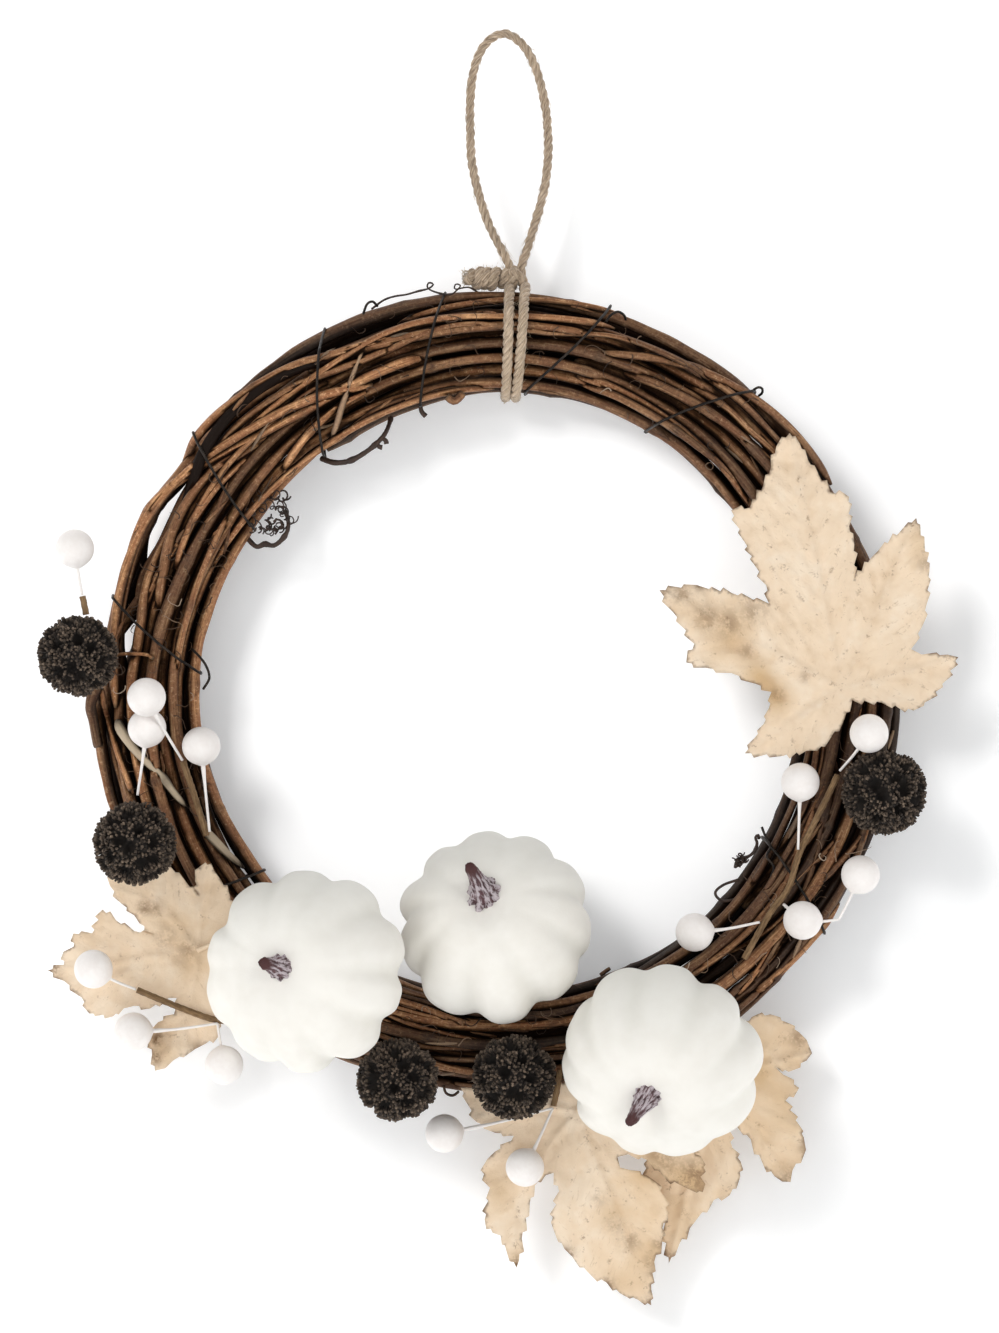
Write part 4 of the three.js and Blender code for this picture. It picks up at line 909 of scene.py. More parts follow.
def add_rootlets(strands):
    """The fine curly roots that cling to a vine."""
    random_ = random.Random(8)
    skin = Skin()
    for _ in range(260):
        degrees = random_.choice([random_.uniform(283, 402), random_.uniform(250, 300),
                                  random_.uniform(100, 150), random_.uniform(150, 215)])
        distance = random_.uniform(114, 149)
        heading, curl = random_.uniform(0, TURN), random_.choice((-1, 1)) * random_.uniform(0.10, 0.45)
        stride = random_.uniform(0.5, 1.0)
        path = []
        lift = random_.uniform(0.2, 1.3)
        x, z = distance * math.sin(math.radians(degrees)), distance * math.cos(math.radians(degrees))
        for k in range(random_.randint(7, 13)):
            heading += curl + random_.uniform(-0.5, 0.5)
            x, z = x + math.cos(heading) * stride, z + math.sin(heading) * stride
            away = math.hypot(x, z)
            if not INNER_EDGE < away < OUTER_EDGE:
                break
            front = front_depth(strands, math.degrees(math.atan2(x, z)), away, 0.1)
            if front == 0:
                break
            path.append([x, front - lift, z])
        if len(path) < 5:
            continue
        path = np.array(path)
        path[:, 1] = blur(np.minimum(path[:, 1], path[:, 1].min() + 2.5), 3)
        path = smooth_path(path, 0.6)
        thin = random_.uniform(0.12, 0.26)
        skin.add_wire(path, thin * np.linspace(1.2, 0.5, len(path)), 4, tone=random_.choice([
            random_.uniform(0.1, 0.5), random_.uniform(0.1, 0.6), random_.uniform(0.4, 0.95)]))
    skin.build("rootlets", ROOTLETS, "vine")


# Tendrils: half thickness, the depth where each leaves the ring, and its path from there.
TENDRILS = {
    "tendril_inner_top": (1.05, -9, [
        (-69, 89, 4), (-64, 87.3, 1), (-58, 87.9, -1), (-51.2, 91.7, -2), (-46.2, 96.2, -2), (-44, 99.7, -1),
        (-42.6, 104.5, 3)]),
    "tendril_inner_left": (0.95, -8, [
        (-98, 60, 4), (-93.6, 55.7, 1), (-90.2, 56.6, 0), (-86.8, 56, -1), (-83.7, 58.2, -2),
        (-81.6, 61.5, -2), (-81.3, 65, -1), (-82.5, 69, 3)]),
    "tendril_outer_top": (0.38, -8, [
        (-50, 145.5, 3), (-45.5, 148.5, 0), (-41.3, 149.9, -1), (-36.8, 150.6, -1), (-32.6, 151.8, -1),
        (-28.4, 152.8, -2), (-26.6, 154.4, -2), (-28.4, 155, -1), (-28.8, 153.2, 0), (-25.8, 151.6, 0),
        (-20.5, 150.6, 0), (-17.6, 152.4, -1), (-16.4, 154, -1), (-18.2, 154.6, 0), (-18.4, 152.8, 1),
        (-13.5, 153.6, 2), (-10, 152, 3)]),
    "tendril_inner_right": (0.65, -7, [
        (87.5, -65.5, 4), (88.4, -62.4, 1), (91.4, -61.6, -1), (94.2, -59.6, -1), (95.5, -56.4, 0),
        (94.9, -54.2, 1), (95.9, -53.2, 1), (96.3, -54.6, 2)]),
}


def add_tendrils():
    for i, (name, (thick, depth, path)) in enumerate(TENDRILS.items()):
        random_ = random.Random(60 + i)
        line = smooth_path([(x, depth + y, z) for x, z, y in path], 0.8)
        length = lengths_along(line)
        radius = thick * (1.1 - 0.35 * length / length[-1])
        for at in (0.35, 0.62, 0.97):
            radius = radius + 0.35 * thick * hump(length - at * length[-1], 1.1)
        radius = radius * np.array([random_.uniform(0.93, 1.07) for _ in line])
        skin = Skin()
        skin.add_tube(line, radius, 8)
        if name == "tendril_inner_top":
            for knob in ([(-46.2, 96.2), (-44.6, 95.6), (-44.2, 94.2)],
                         [(-48, 94.6), (-47, 93.2), (-45.8, 92.9)],
                         [(-31.5, 109), (-31, 106.4), (-29.4, 104.6)]):
                twig = smooth_path([(x, depth - 2, z) for x, z in knob], 0.6)
                skin.add_tube(twig, 0.95 * np.linspace(0.8, 1.1, len(twig)), 7)
        if name == "tendril_inner_right":
            skin.add_tube(smooth_path([
                (88.5, depth, -70), (82.6, depth - 2, -72), (79.6, depth - 2, -75),
                (82.6, depth - 1, -78), (90, depth + 2, -77)], 0.7), 0.55, 7)
            add_curls(skin, random_, 12, (87.2, -65.6), (90.8, -61.6), 1.2)
        if name == "tendril_inner_left":
            add_curls(skin, random_, 34, (-96, 60), (-80.5, 74), 2.2)
        skin.build(name.replace("tendril", "curled"), TENDRIL_WOOD, "vine", [name])


def add_curls(skin, random_, count, low, high, largest):
    """A tangle of fine curls at the ring's inner edge."""
    for _ in range(count):
        x, z = random_.uniform(low[0], high[0]), random_.uniform(low[1], high[1])
        size, turns = random_.uniform(0.4 * largest, largest), random_.uniform(0.5, 1.5)
        phase, tilt = random_.uniform(0, TURN), random_.uniform(-1, 1)
        t = np.linspace(0, 1, 26)
        spin = phase + turns * TURN * t
        grow = size * (0.35 + 0.65 * t)
        path = np.stack([x + grow * np.cos(spin) + 2.5 * tilt * t, -8 - 4 * t + 0.8 * np.sin(spin * 1.3),
                         z + grow * np.sin(spin) + 2 * t], axis=1)
        skin.add_tube(path, random_.uniform(0.24, 0.44), 5)


# Binding wires: degrees clockwise of the middle, how far the outer edge leads it, and how it bends. The
# tails are the twisted ends of some of them, by the wire's place in the list.
WIRES = [(11.5, 6, -2), (34, 6.4, 0), (123, 4, 0), (236, 2.5, 0), (279, 5.4, 0), (306.7, 3.4, 0),
         (328.3, 5.3, 0), (347.7, 3.9, 0)]
WIRE_TAILS = {
    0: [(38.1, -13.5, 139.6), (39.9, -14, 142.2), (42.6, -14, 143.7), (45, -13.5, 142.6), (45.8, -11, 141)],
    1: [(93.6, -13, 114.2), (95.5, -14, 115.3), (97.1, -13.8, 114.7), (97, -12.5, 113.2),
        (95.9, -11, 112.3)],
    2: [(97, -12, -50), (98.6, -11, -54), (100.4, -11, -57.5), (98.9, -12, -61), (101.5, -13, -65.2),
        (100.2, -13, -70.5), (103.4, -12, -77.3)],
    4: [(-117.5, -10, 17), (-114.5, -11, 14), (-112, -11, 10.4), (-111, -10, 6), (-113.5, -7, 1.9)],
    6: [(-53, -12, 143), (-51.5, -14, 146.5), (-49.4, -13, 147.6), (-47.6, -11, 146)],
}


def convex_hull(spots):
    order = sorted((float(a), float(b)) for a, b in spots)

    def chain(points):
        hull = []
        for point in points:
            while len(hull) > 1:
                (ax, ay), (bx, by) = hull[-2], hull[-1]
                if (bx - ax) * (point[1] - ay) - (by - ay) * (point[0] - ax) > 1e-6:
                    break
                hull.pop()
            hull.append(point)
        return hull[:-1]

    return np.array(chain(order) + chain(order[::-1]))


def tied_path(strands, radius, angle_at, step):
    """The taut path of something tied round the ring, as distances and depths in even steps."""
    middle = crossings(strands, angle_at(0))[:, 0]
    centre = (middle.min() + middle.max()) / 2
    round_ = np.arange(10) / 10 * TURN
    spots = []
    for aside in np.linspace(-1.3, 1.3, 53):
        for near in (-0.012, 0.012):
            for distance, depth, thick in crossings(strands, angle_at(aside) + near):
                if abs((distance - centre) / HALF_BUNDLE - aside) < 0.05:
                    reach = thick * 1.02 + radius
                    spots.extend(zip(distance + reach * np.cos(round_), depth + reach * np.sin(round_)))
    hull = convex_hull(spots)
    closed = np.vstack([hull, hull[:1]])
    length = lengths_along(closed)
    even = at_lengths(np.linspace(0, length[-1], int(length[-1] / step) + 1)[:-1], length, closed)
    return (np.roll(even, 1, axis=0) + 2 * even + np.roll(even, -1, axis=0)) / 4, centre


def add_wires(strands):
    for i, (middle, lead, bend) in enumerate(WIRES):
        def degrees_at(aside):
            return middle + lead * aside + bend * aside ** 2

        random_ = random.Random(i)
        skin = Skin()
        hull, centre = tied_path(strands, 0.5, lambda aside: math.radians(degrees_at(aside)), 1.0)
        closed = np.vstack([hull, hull[:2]])
        degrees = degrees_at((closed[:, 0] - centre) / HALF_BUNDLE)
        path = np.array([ring_point(a, d, y) for a, (d, y) in zip(degrees, closed)])
        path[:, 2] += blur(np.array([random_.uniform(-0.25, 0.25) for _ in path]), 4)
        skin.add_wire(path, 0.52, 7)
        if i in WIRE_TAILS:
            skin.add_wire(smooth_path(WIRE_TAILS[i], 0.8), 0.5, 7)
        skin.build("binding_wire_%d" % (i + 1), WIRE, "wire", ["wire_%d" % (i + 1)])


def add_rope(skin, path, thickness, pitch, seed, ends=True):
    """Jute twine: three plies twisted round each other."""
    random_ = random.Random(seed)
    _, side, other = across_path(path)
    length = lengths_along(path)
    sides = 9
    for ply in range(3):
        phase = TURN * (length / pitch + ply / 3)
        swell = random_along(length, 4, 12, 0.9, 1.12, random_)
        offset = thickness * 0.240
        middle = path + offset * (side * np.cos(phase)[:, None] + other * np.sin(phase)[:, None])
        radius = thickness * 0.258 * swell
        if ends:
            radius = radius * (0.75 + 0.25 * np.clip(from_ends(length) / 1.5, 0, 1))
        points, faces, grain = tube(middle, radius, sides, start=random_.uniform(0, 400))
        # Painted shade where the plies press on each other.
        off_axis = np.linalg.norm(points - np.repeat(path, sides, axis=0), axis=1)
        groove = 0.8 * np.clip(1 - (off_axis - thickness * 0.22) / (thickness * 0.17), 0, 1)
        skin.add(points, faces, grain=grain, groove=groove)


def add_hairs(skin, path, thickness, count, seed):
    """Hairs that stand off a rope."""
    random_ = random.Random(seed)
    along, side, other = across_path(path)
    for _ in range(count):
        i = random_.randrange(1, len(path) - 1)
        angle = random_.uniform(0, TURN)
        out = side[i] * math.cos(angle) + other[i] * math.sin(angle)
        run = along[i] * random_.choice((-1, 1))
        reach, stand = random_.uniform(1.5, 6), random_.uniform(0.2, 1.5)
        sway = np.cross(out, run) * random_.uniform(-1.2, 1.2)
        t = np.linspace(0, 1, 5)[:, None]
        line = path[i] + out * (thickness * 0.44 + stand * t ** 1.6) + run * reach * t + sway * t ** 2
        skin.add_wire(line, random_.uniform(0.05, 0.085) * np.linspace(1, 0.5, 5), 3)


# The loop's route is that of its solid.
LOOP_ROUTE = [
    (2.2, -4, 157), (1.9, -4, 162), (-0.4, -3.6, 167), (-5.8, -2.6, 177.7), (-10.3, -1.8, 191.9),
    (-12.3, -1.2, 203.1), (-12.8, -0.7, 215.3), (-12.6, -0.3, 227.4), (-10.9, 0, 238.6),
    (-6.8, 0, 246.6), (0, 0, 250.3), (6.8, 0, 246.4), (11.6, 0, 238.2), (15, -0.3, 226.5),
    (16.6, -0.7, 214.3), (16.6, -1.2, 202.1), (15.2, -1.8, 190.9), (11.6, -2.6, 177.7), (8.4, -3.6, 167),
    (6.7, -4, 162), (6.6, -4, 157),
]
TWINE = 4.0


def add_loop():
    path = smooth_path(LOOP_ROUTE, 0.6)
    skin = Skin()
    add_rope(skin, path, 0.87 * TWINE, 10.5, 31)
    loop = skin.build("hanging_loop", JUTE, "jute", ["jute_loop"])
    places = [tuple((point + RING_MIDDLE) * MM) for point in [*path[::4], path[-1]]]
    places[0]
    float(lengths_along(path)[-1]) * MM
    return path


def add_hitch(strands):
    """Both turns of the hitch round the ring; their fronts meet under its inner edge."""
    skin, paths = Skin(), []
    for top, bottom, seed in ((2.1, 0.4, 3), (8.0, 3.9, 4)):
        angle = math.atan2((top + bottom) / 2, 133)
        hull, centre = tied_path(strands, TWINE / 2 - 0.1, lambda aside: angle, 0.6)
        closed = np.vstack([hull, hull[:3]])
        high = np.clip((closed[:, 0] - INNER_EDGE) / 42, 0, 1)
        x = bottom + (top - bottom) * high ** 0.6
        path = np.stack([x, closed[:, 1], closed[:, 0]], axis=1)
        for _ in range(6):
            path[1:-1] = (path[:-2] + 2 * path[1:-1] + path[2:]) / 4
        add_rope(skin, path, TWINE, 9.5, seed, ends=False)
        paths.append(path)
    skin.build("hitch_twine", JUTE, "jute", ["jute_hitch"])
    return paths


def add_knot():
    """Uneven coils round the loop's foot, with a frayed end at the left."""
    t = np.linspace(0, 1, 260)
    spin = 1.1 + 5.0 * TURN * t + 0.5 * np.sin(7.3 * t)
    swell = 2.55 + 0.3 * np.sin(spin * 0.5) + 0.25 * np.sin(11 * t + 1)
    x = 4.2 - 16.2 * t + 0.4 * np.sin(9 * t)
    path = np.stack([x, -4 + swell * np.cos(spin), 157.1 + swell * np.sin(spin)], axis=1)
    tail = np.array([[-13.0, -5.8, 156.0], [-14.2, -5.0, 157.4]])
    over = np.array([[7.6, -2.6, 153], [6.6, -6.2, 156.6], [3.8, -7.6, 158.8]])
    path = smooth_path(np.vstack([over, path[::6], tail]), 0.5)
    skin = Skin()
    add_rope(skin, path, 1.05 * TWINE, 8.0, 12)
    skin.build("barrel_knot", JUTE, "jute", ["jute_knot"])
    return path


def add_jute(strands, loop):
    turns = add_hitch(strands)
    knot = add_knot()
    skin = Skin()
    add_hairs(skin, loop, TWINE, 330, 1)
    for i, turn in enumerate(turns):
        add_hairs(skin, turn, TWINE, 150, 2 + i)
    add_hairs(skin, knot, TWINE, 260, 5)
    random_ = random.Random(77)
    for _ in range(60):
        y, z = random_.uniform(-6.8, -2), random_.uniform(154.6, 160)
        reach = random_.uniform(0.6, 2.2)
        line = smooth_path([
            (-12.8, y, z), (-14.0 - reach * 0.5, y + random_.uniform(-0.6, 0.6), z),
            (-14.0 - reach, y + random_.uniform(-1, 1), z + random_.uniform(-1.4, 1.4))], 0.7)
        skin.add_wire(line, 0.09, 3)
    skin.build("jute_hairs", JUTE_HAIRS, "jute")


# Pumpkins: place across and up, greatest radius, where the stem's pole points, which way and how far the
# stem leans, and how far its foot is off the pole.
PUMPKINS = {
    "pumpkin_middle": dict(
        at=(-3.4, -87.0), radius=36.4, pole=(-0.17, -0.89, 0.42), lean=(-0.55, 0.2, 0.9), reach=6.2,
        foot=(0.4, 0, 3.4), turn=0.1, seed=4),
    "pumpkin_left": dict(
        at=(-73.0, -101.3), radius=37.2, pole=(-0.31, -0.94, 0.1), lean=(-0.9, -0.3, 0.3), reach=4.2,
        foot=(1.2, 0, 0.4), turn=0.35, seed=7, tall=12.0),
    "pumpkin_right": dict(
        at=(57.8, -135.2), radius=37.2, pole=(-0.2, -0.87, -0.46), lean=(-0.75, 0.1, -0.8), reach=7.2,
        foot=(0.2, 0, 2.9), turn=0.2, seed=12),
}
LOBES = 10
# A pumpkin's height as a part of its width, and what the dip at its pole leaves of it.
FLATNESS = 0.84
POLE_LEFT = 0.83
STEM_TALL = 15.4


def turned_to(pole, points):
    turn = Vector((0, 0, 1)).rotation_difference(Vector(pole).normalized()).to_matrix()
    return points @ np.array(turn).T


def primitive_arrays(add, **settings):
    """The points and faces of one of the modeller's primitives, made once and copied from."""
    add(**settings)
    source = bpy.context.object
    points = np.array([v.co for v in source.data.vertices])
    faces = [list(face.vertices) for face in source.data.polygons]
    bpy.data.objects.remove(source, do_unlink=True)
    return points, faces


def box_middle(node):
    low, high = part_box(node)
    return (np.array(low) + np.array(high)) / 2 / MM - RING_MIDDLE


def add_pumpkin(name, at, radius, pole, lean, reach, foot, turn, seed, tall=STEM_TALL):
    random_ = random.Random(seed)
    points, faces = primitive_arrays(bpy.ops.mesh.primitive_uv_sphere_add, segments=200, ring_count=96,
                                     radius=1)
    polar = np.arccos(np.clip(points[:, 2], -1, 1))
    bearing = np.arctan2(points[:, 1], points[:, 0]) % TURN
    widths = np.array([random_.uniform(0.80, 1.20) for _ in range(LOBES)])
    edges = np.concatenate([[0], np.cumsum(widths / widths.sum() * TURN)])
    lobe = np.clip(np.searchsorted(edges, bearing, side="right") - 1, 0, LOBES - 1)
    across = (bearing - edges[lobe]) / (edges[lobe + 1] - edges[lobe])
    depth = np.array([random_.uniform(0.75, 1.25) for _ in range(LOBES)])
    depth = depth[lobe] * (1 - across) + depth[(lobe + 1) % LOBES] * across
    valley = (0.5 + 0.5 * np.cos(TURN * across)) ** 2.1
    top = points[:, 2] > 0
    soft = np.where(top, np.sin(polar) ** 3.0, np.sin(polar) ** 0.7)
    swell = np.array([random_.uniform(-0.02, 0.03) for _ in range(LOBES)])[lobe]
    swell = swell * np.sin(math.pi * across) ** 2
    wide = radius * np.sin(polar) * (1 + (swell - 0.085 * valley * depth) * soft)
    sunk = np.where(top, 0.17, 0.16) * hump(wide, 0.30 * radius)
    high = radius * FLATNESS * np.cos(polar) * (1 - sunk) * (1 - 0.075 * valley * depth * soft)
    shape = np.stack([wide * np.cos(bearing), wide * np.sin(bearing), high], axis=1)
    lumps = np.array([noise.noise(Vector(p / 24) + Vector((seed, 0, 0))) for p in shape])
    shape *= 1 + 0.03 * lumps[:, None]
    spin = np.array([[math.cos(turn), -math.sin(turn), 0], [math.sin(turn), math.cos(turn), 0],
                     [0, 0, 1]])
    shape = turned_to(pole, shape @ spin.T)
    # Painted shade: the upper side of each pumpkin is painted greyer.
    dusk = np.clip((shape[:, 2] / radius - 0.05) / 0.95, 0, 1) ** 1.2
    depth = box_middle(name)[1]
    shape += [at[0], depth - (shape[:, 1].min() + shape[:, 1].max()) / 2, at[1]]
    skin = Skin()
    skin.add(shape, faces, groove=valley ** 2 * soft, dusk=dusk)
    skin.build("painted_" + name, PUMPKIN, "pumpkin", [name])
    centre = np.array([at[0], depth, at[1]]) + foot
    add_pumpkin_stem(name, centre, radius, pole, lean, reach, seed, tall)


def add_pumpkin_stem(name, centre, radius, pole, lean, reach, seed, tall):
    """A stem with a star of roots at its foot, twisted ribs and a blunt tip that leans over."""
    random_ = random.Random(100 + seed)
    ribs, sides, rows = 9, 90, 44
    socket = radius * FLATNESS * POLE_LEFT - 2.4
    grow = np.linspace(0, 1, rows)
    height = STEM_TALL * grow
    wide = np.interp(height, [0, 1.2, 2.2, 3.4, 4.8, 6.6, 9, 12, 14.4, STEM_TALL],
                     [7.0, 7.9, 7.3, 6.0, 4.9, 4.1, 3.3, 2.5, 2.2, 1.6])
    ribbed = np.interp(height, [0, 2, 4, 7, 11, STEM_TALL], [0.34, 0.30, 0.24, 0.20, 0.15, 0.10])
    bearing = np.arange(sides) / sides * TURN
    rib = np.abs(np.cos(ribs * bearing / 2)) ** 1.5
    nearest = np.round(bearing / TURN * ribs).astype(int) % ribs
    root = np.array([random_.uniform(0.62, 1.22) for _ in range(ribs)])[nearest]
    points, ridge = [], []
    for i in range(rows):
        low = max(0, 1 - height[i] / 4.5)
        out = wide[i] * (1 - ribbed[i] * (1 - rib)) * (1 + (root - 1) * low * rib)
        droop = -1.1 * rib * max(0, 1 - height[i] / 3)
        twisted = bearing + 0.6 * grow[i]
        points.append(np.stack([out * np.cos(twisted), out * np.sin(twisted),
                                socket + height[i] * tall / STEM_TALL + droop], axis=1))
        ridge.append(rib * (0.35 + 0.65 * min(1, ribbed[i] / 0.3)))
    points = np.concatenate(points + [[[0, 0, socket + tall - 0.35]], [[0, 0, socket]]])
    ridge = np.concatenate(ridge + [[0.1], [0]])
    faces = ring_faces(rows, sides)
    last = (rows - 1) * sides
    faces += [[last + k, last + (k + 1) % sides, rows * sides] for k in range(sides)]
    faces += [[(k + 1) % sides, k, rows * sides + 1] for k in range(sides)]
    level = np.append(np.repeat(height, sides), [height[-1], 0])
    grain = np.stack([points[:, 0], points[:, 1], level], axis=1)
    rough = np.array([noise.noise(Vector(p / 1.3)) for p in points])
    points[:, :2] *= (1 + 0.16 * rough)[:, None]
    shape = turned_to(pole, points)
    axis = np.array(Vector(pole).normalized())
    aside = np.array(Vector(lean).normalized())
    aside = aside - axis * aside.dot(axis)
    aside /= np.linalg.norm(aside)
    shape += aside * (reach * np.clip((level - 2) / 13, 0, None) ** 1.35)[:, None]
    skin = Skin()
    skin.add(shape + centre, faces, grain=grain, ridge=ridge, tip=np.clip((level - 11.5) / 3, 0, 1))
    skin.build("painted_" + name + "_stem", PUMPKIN_STEM, "pumpkin_stem", [name + "_stem"])


# Seed pods: a pitted core under a coat of short blunt bristles. The core and the feet of the bristles are
# painted near-black, partly the pod's own dark colour and partly painted shade in the pits and between the
# bristles.
PODS = ["pod_left_upper", "pod_left_lower", "pod_right", "pod_bottom_left", "pod_bottom_right"]
BRISTLES = 2500
PITS = 46
BRISTLE_FACES = ring_faces(4, 4) + [[12, 13, 14, 15], [3, 2, 1, 0]]


def even_directions(count, random_, jitter):
    k = np.arange(count) + 0.5
    z = 1 - 2 * k / count
    spin = k * math.pi * (3 - math.sqrt(5))
    wide = np.sqrt(1 - z ** 2)
    out = np.stack([wide * np.cos(spin), wide * np.sin(spin), z], axis=1)
    return unit(out + np.array([[random_.gauss(0, jitter) for _ in range(3)] for _ in range(count)]))


def add_pod(node, seed):
    random_ = random.Random(seed)
    low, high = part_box(node)
    radius = float(np.mean(np.array(high) - np.array(low))) / 2 / MM
    middle = box_middle(node)

    def pit_distance(directions):
        return (np.arccos(np.clip(directions @ pits.T, -1, 1)) / pit_size).min(axis=1)

    pits = even_directions(PITS, random_, 0.10)
    pit_size = np.array([random_.uniform(0.15, 0.21) for _ in range(PITS)])
    ball, ball_faces = primitive_arrays(bpy.ops.mesh.primitive_ico_sphere_add, subdivisions=5, radius=1)
    core = radius * (0.88 - 0.30 * np.exp(-(pit_distance(ball) / 1.05) ** 4))
    skin = Skin()
    skin.add(middle + ball * core[:, None], ball_faces, tip=0.0)
    starts = even_directions(BRISTLES, random_, 0.016)
    corners, faces, tips = [], [], []
    for direction, away in zip(starts, pit_distance(starts)):
        if away < 1.0:
            continue
        clump = noise.noise(Vector(direction * radius / 2.0) + Vector((seed * 9, 0, 0)))
        reach = radius * min(1.01, 0.955 + 0.07 * clump + random_.uniform(-0.045, 0.05)
                             - 0.05 * max(0.0, 1.35 - away))
        lean = direction + np.array([random_.gauss(0, 0.025) for _ in range(3)])
        first = unit(np.cross(direction, [random_.uniform(-1, 1), random_.uniform(-1, 1), 0.3]))
        second = np.cross(direction, first)
        spin, thick = random_.uniform(0, TURN), random_.uniform(0.48, 0.78)
        glow = min(1.0, max(0.1, 0.5 + 0.9 * clump + random_.uniform(-0.3, 0.3)))
        faces += [[len(corners) + corner for corner in face] for face in BRISTLE_FACES]
        # Painted shade: each bristle is painted near-black at its foot and brighter towards its tip.
        for out, size, bright in ((0.80 * radius, 0.6, 0.0), (reach - 1.4, 0.7, 0.1),
                                  (reach - 0.6, 1.0, 0.75 * glow), (reach, 0.6, glow)):
            for k in range(4):
                a = spin + k * TURN / 4
                side = first * math.cos(a) + second * math.sin(a)
                corners.append(unit(lean) * out + side * thick * size)
                tips.append(bright)
    skin.add(middle + np.array(corners), faces, tip=np.array(tips))
    piece = skin.build("bristled_" + node, POD, "pod", [node])
    for polygon in piece.data.polygons[len(ball_faces):]:
        polygon.use_smooth = False


# Berry sprays: the way of each stem, and the berries whose wires meet at a place on it. They go where
# their solids do.
BERRY_RADIUS = 7.2
SPRAYS = {
    "spray_left_upper": dict(
        stem=[(-155.5, 0, 29.7), (-156.2, 0, 33.2), (-156.9, 0, 36.6)],
        whites=[dict(berries=[(-159.8, 0, 54.3)], meet=(-157, 0, 37))]),
    "spray_left": dict(
        stem=[(-120.2, -4, -25.2), (-116, -2, -38), (-111.6, 0, -53)],
        whites=[dict(berries=[(-132.5, -20, -1)], meet=(-120.4, -4.15, -24.7)),
                dict(berries=[(-113.1, -7, -19.3)], meet=(-110.4, -1.3, -51.5))]),
    "spray_left_pod": dict(whites=[dict(berries=[(-133.3, 0, -12.6)], meet=(-136.6, -3, -37.6))]),
    "spray_lower_left": dict(
        stem=[(-137, -2, -110.3), (-122, -1, -116.6), (-108.6, 0, -121.5), (-98, 0.5, -122.5)],
        whites=[dict(berries=[(-152.7, -8, -102.1)], meet=(-137.4, -2.15, -110.1)),
                dict(berries=[(-138.1, -6, -125.6), (-104.2, -6, -138)], meet=(-107, -1.5, -122.9))]),
    "spray_bottom": dict(
        stem=[(18.6, 0, -154.6), (20, -0.5, -148), (21, -1, -141)],
        whites=[dict(berries=[(-22.4, -2, -164.8), (7.8, -6, -177.1)], meet=(18.35, -0.05, -155.5))]),
    "spray_right": dict(
        stem=[(124.3, -8, -30.1), (117.5, -3.5, -45), (110.8, 0, -59.2), (106.3, 0, -73), (99.6, 0, -82),
              (89.9, 0, -99.1)],
        whites=[dict(berries=[(135.1, -19, -14.4)], meet=(125.1, -8.6, -28.4)),
                dict(berries=[(110.4, -8, -32.7)], meet=(110, -1.8, -58)),
                dict(berries=[(132.5, -12, -67), (111.2, -8.5, -84.2)], meet=(124.6, -9, -83.8),
                     foot=(104.7, 0, -78.7)),
                dict(berries=[(71.3, -2, -89)], meet=(95.7, -1, -85.3))]),
}


def spray_depth(name, spray):
    """How far back a spray was laid, from the poles of its first berry."""
    x, y, z = spray["whites"][0]["berries"][0]
    mesh = bpy.data.objects[name + "_berries_1"].data
    places = np.array([v.co for v in mesh.vertices]) / MM - RING_MIDDLE
    near = places[np.hypot(places[:, 0] - x, places[:, 2] - z) < BERRY_RADIUS + 0.2]
    return float((near[:, 1].min() + near[:, 1].max()) / 2 - y)


def add_sprays():
    ball, ball_faces = primitive_arrays(bpy.ops.mesh.primitive_uv_sphere_add, segments=40, ring_count=24,
                                        radius=1)
    for number, (name, spray) in enumerate(SPRAYS.items()):
        back = np.array([0, spray_depth(name, spray), 0])
        if "stem" in spray:
            random_ = random.Random(number)
            line = smooth_path(spray["stem"], 0.7) + back
            skin = Skin()
            round_ = np.arange(12)[None, :] * TURN / 12
            wrap = 1.18 * (1 + 0.05 * np.sin(lengths_along(line)[:, None] * 2.1 + round_))
            skin.add_tube(line, wrap * np.array([random_.uniform(0.97, 1.04) for _ in line])[:, None], 12)
            skin.build("paper_" + name + "_stem", SPRAY_PAPER, "spray_stem", [name + "_stem"])
        for i, white in enumerate(spray["whites"]):
            random_ = random.Random(50 + number * 7 + i)
            skin = Skin()
            meet = np.array(white["meet"]) + back
            for berry in white["berries"]:
                middle = np.array(berry) + back
                off_wire = 1 - ball @ unit(meet - middle)
                size = BERRY_RADIUS * (1.0 + 0.012 * ball[:, 1] + 0.05 * hump(off_wire, 0.035))
                skin.add(middle + ball * size[:, None], ball_faces)
                bend = (middle + meet) / 2 + [0, 0, -0.6]
                line = smooth_path([middle, bend, meet], 0.9)
                t = np.linspace(0, 1, len(line))
                skin.add_wire(line, 0.60 + 0.28 * hump(t - 0.25, 0.14) - 0.12 * t, 10)
            if "foot" in white:
                skin.add_wire(smooth_path([middle, np.array(white["foot"]) + back], 0.9), 0.6, 10)
            node = name + "_berries_%d" % (i + 1)
            skin.build("painted_" + node, BERRY, "berry", [node])
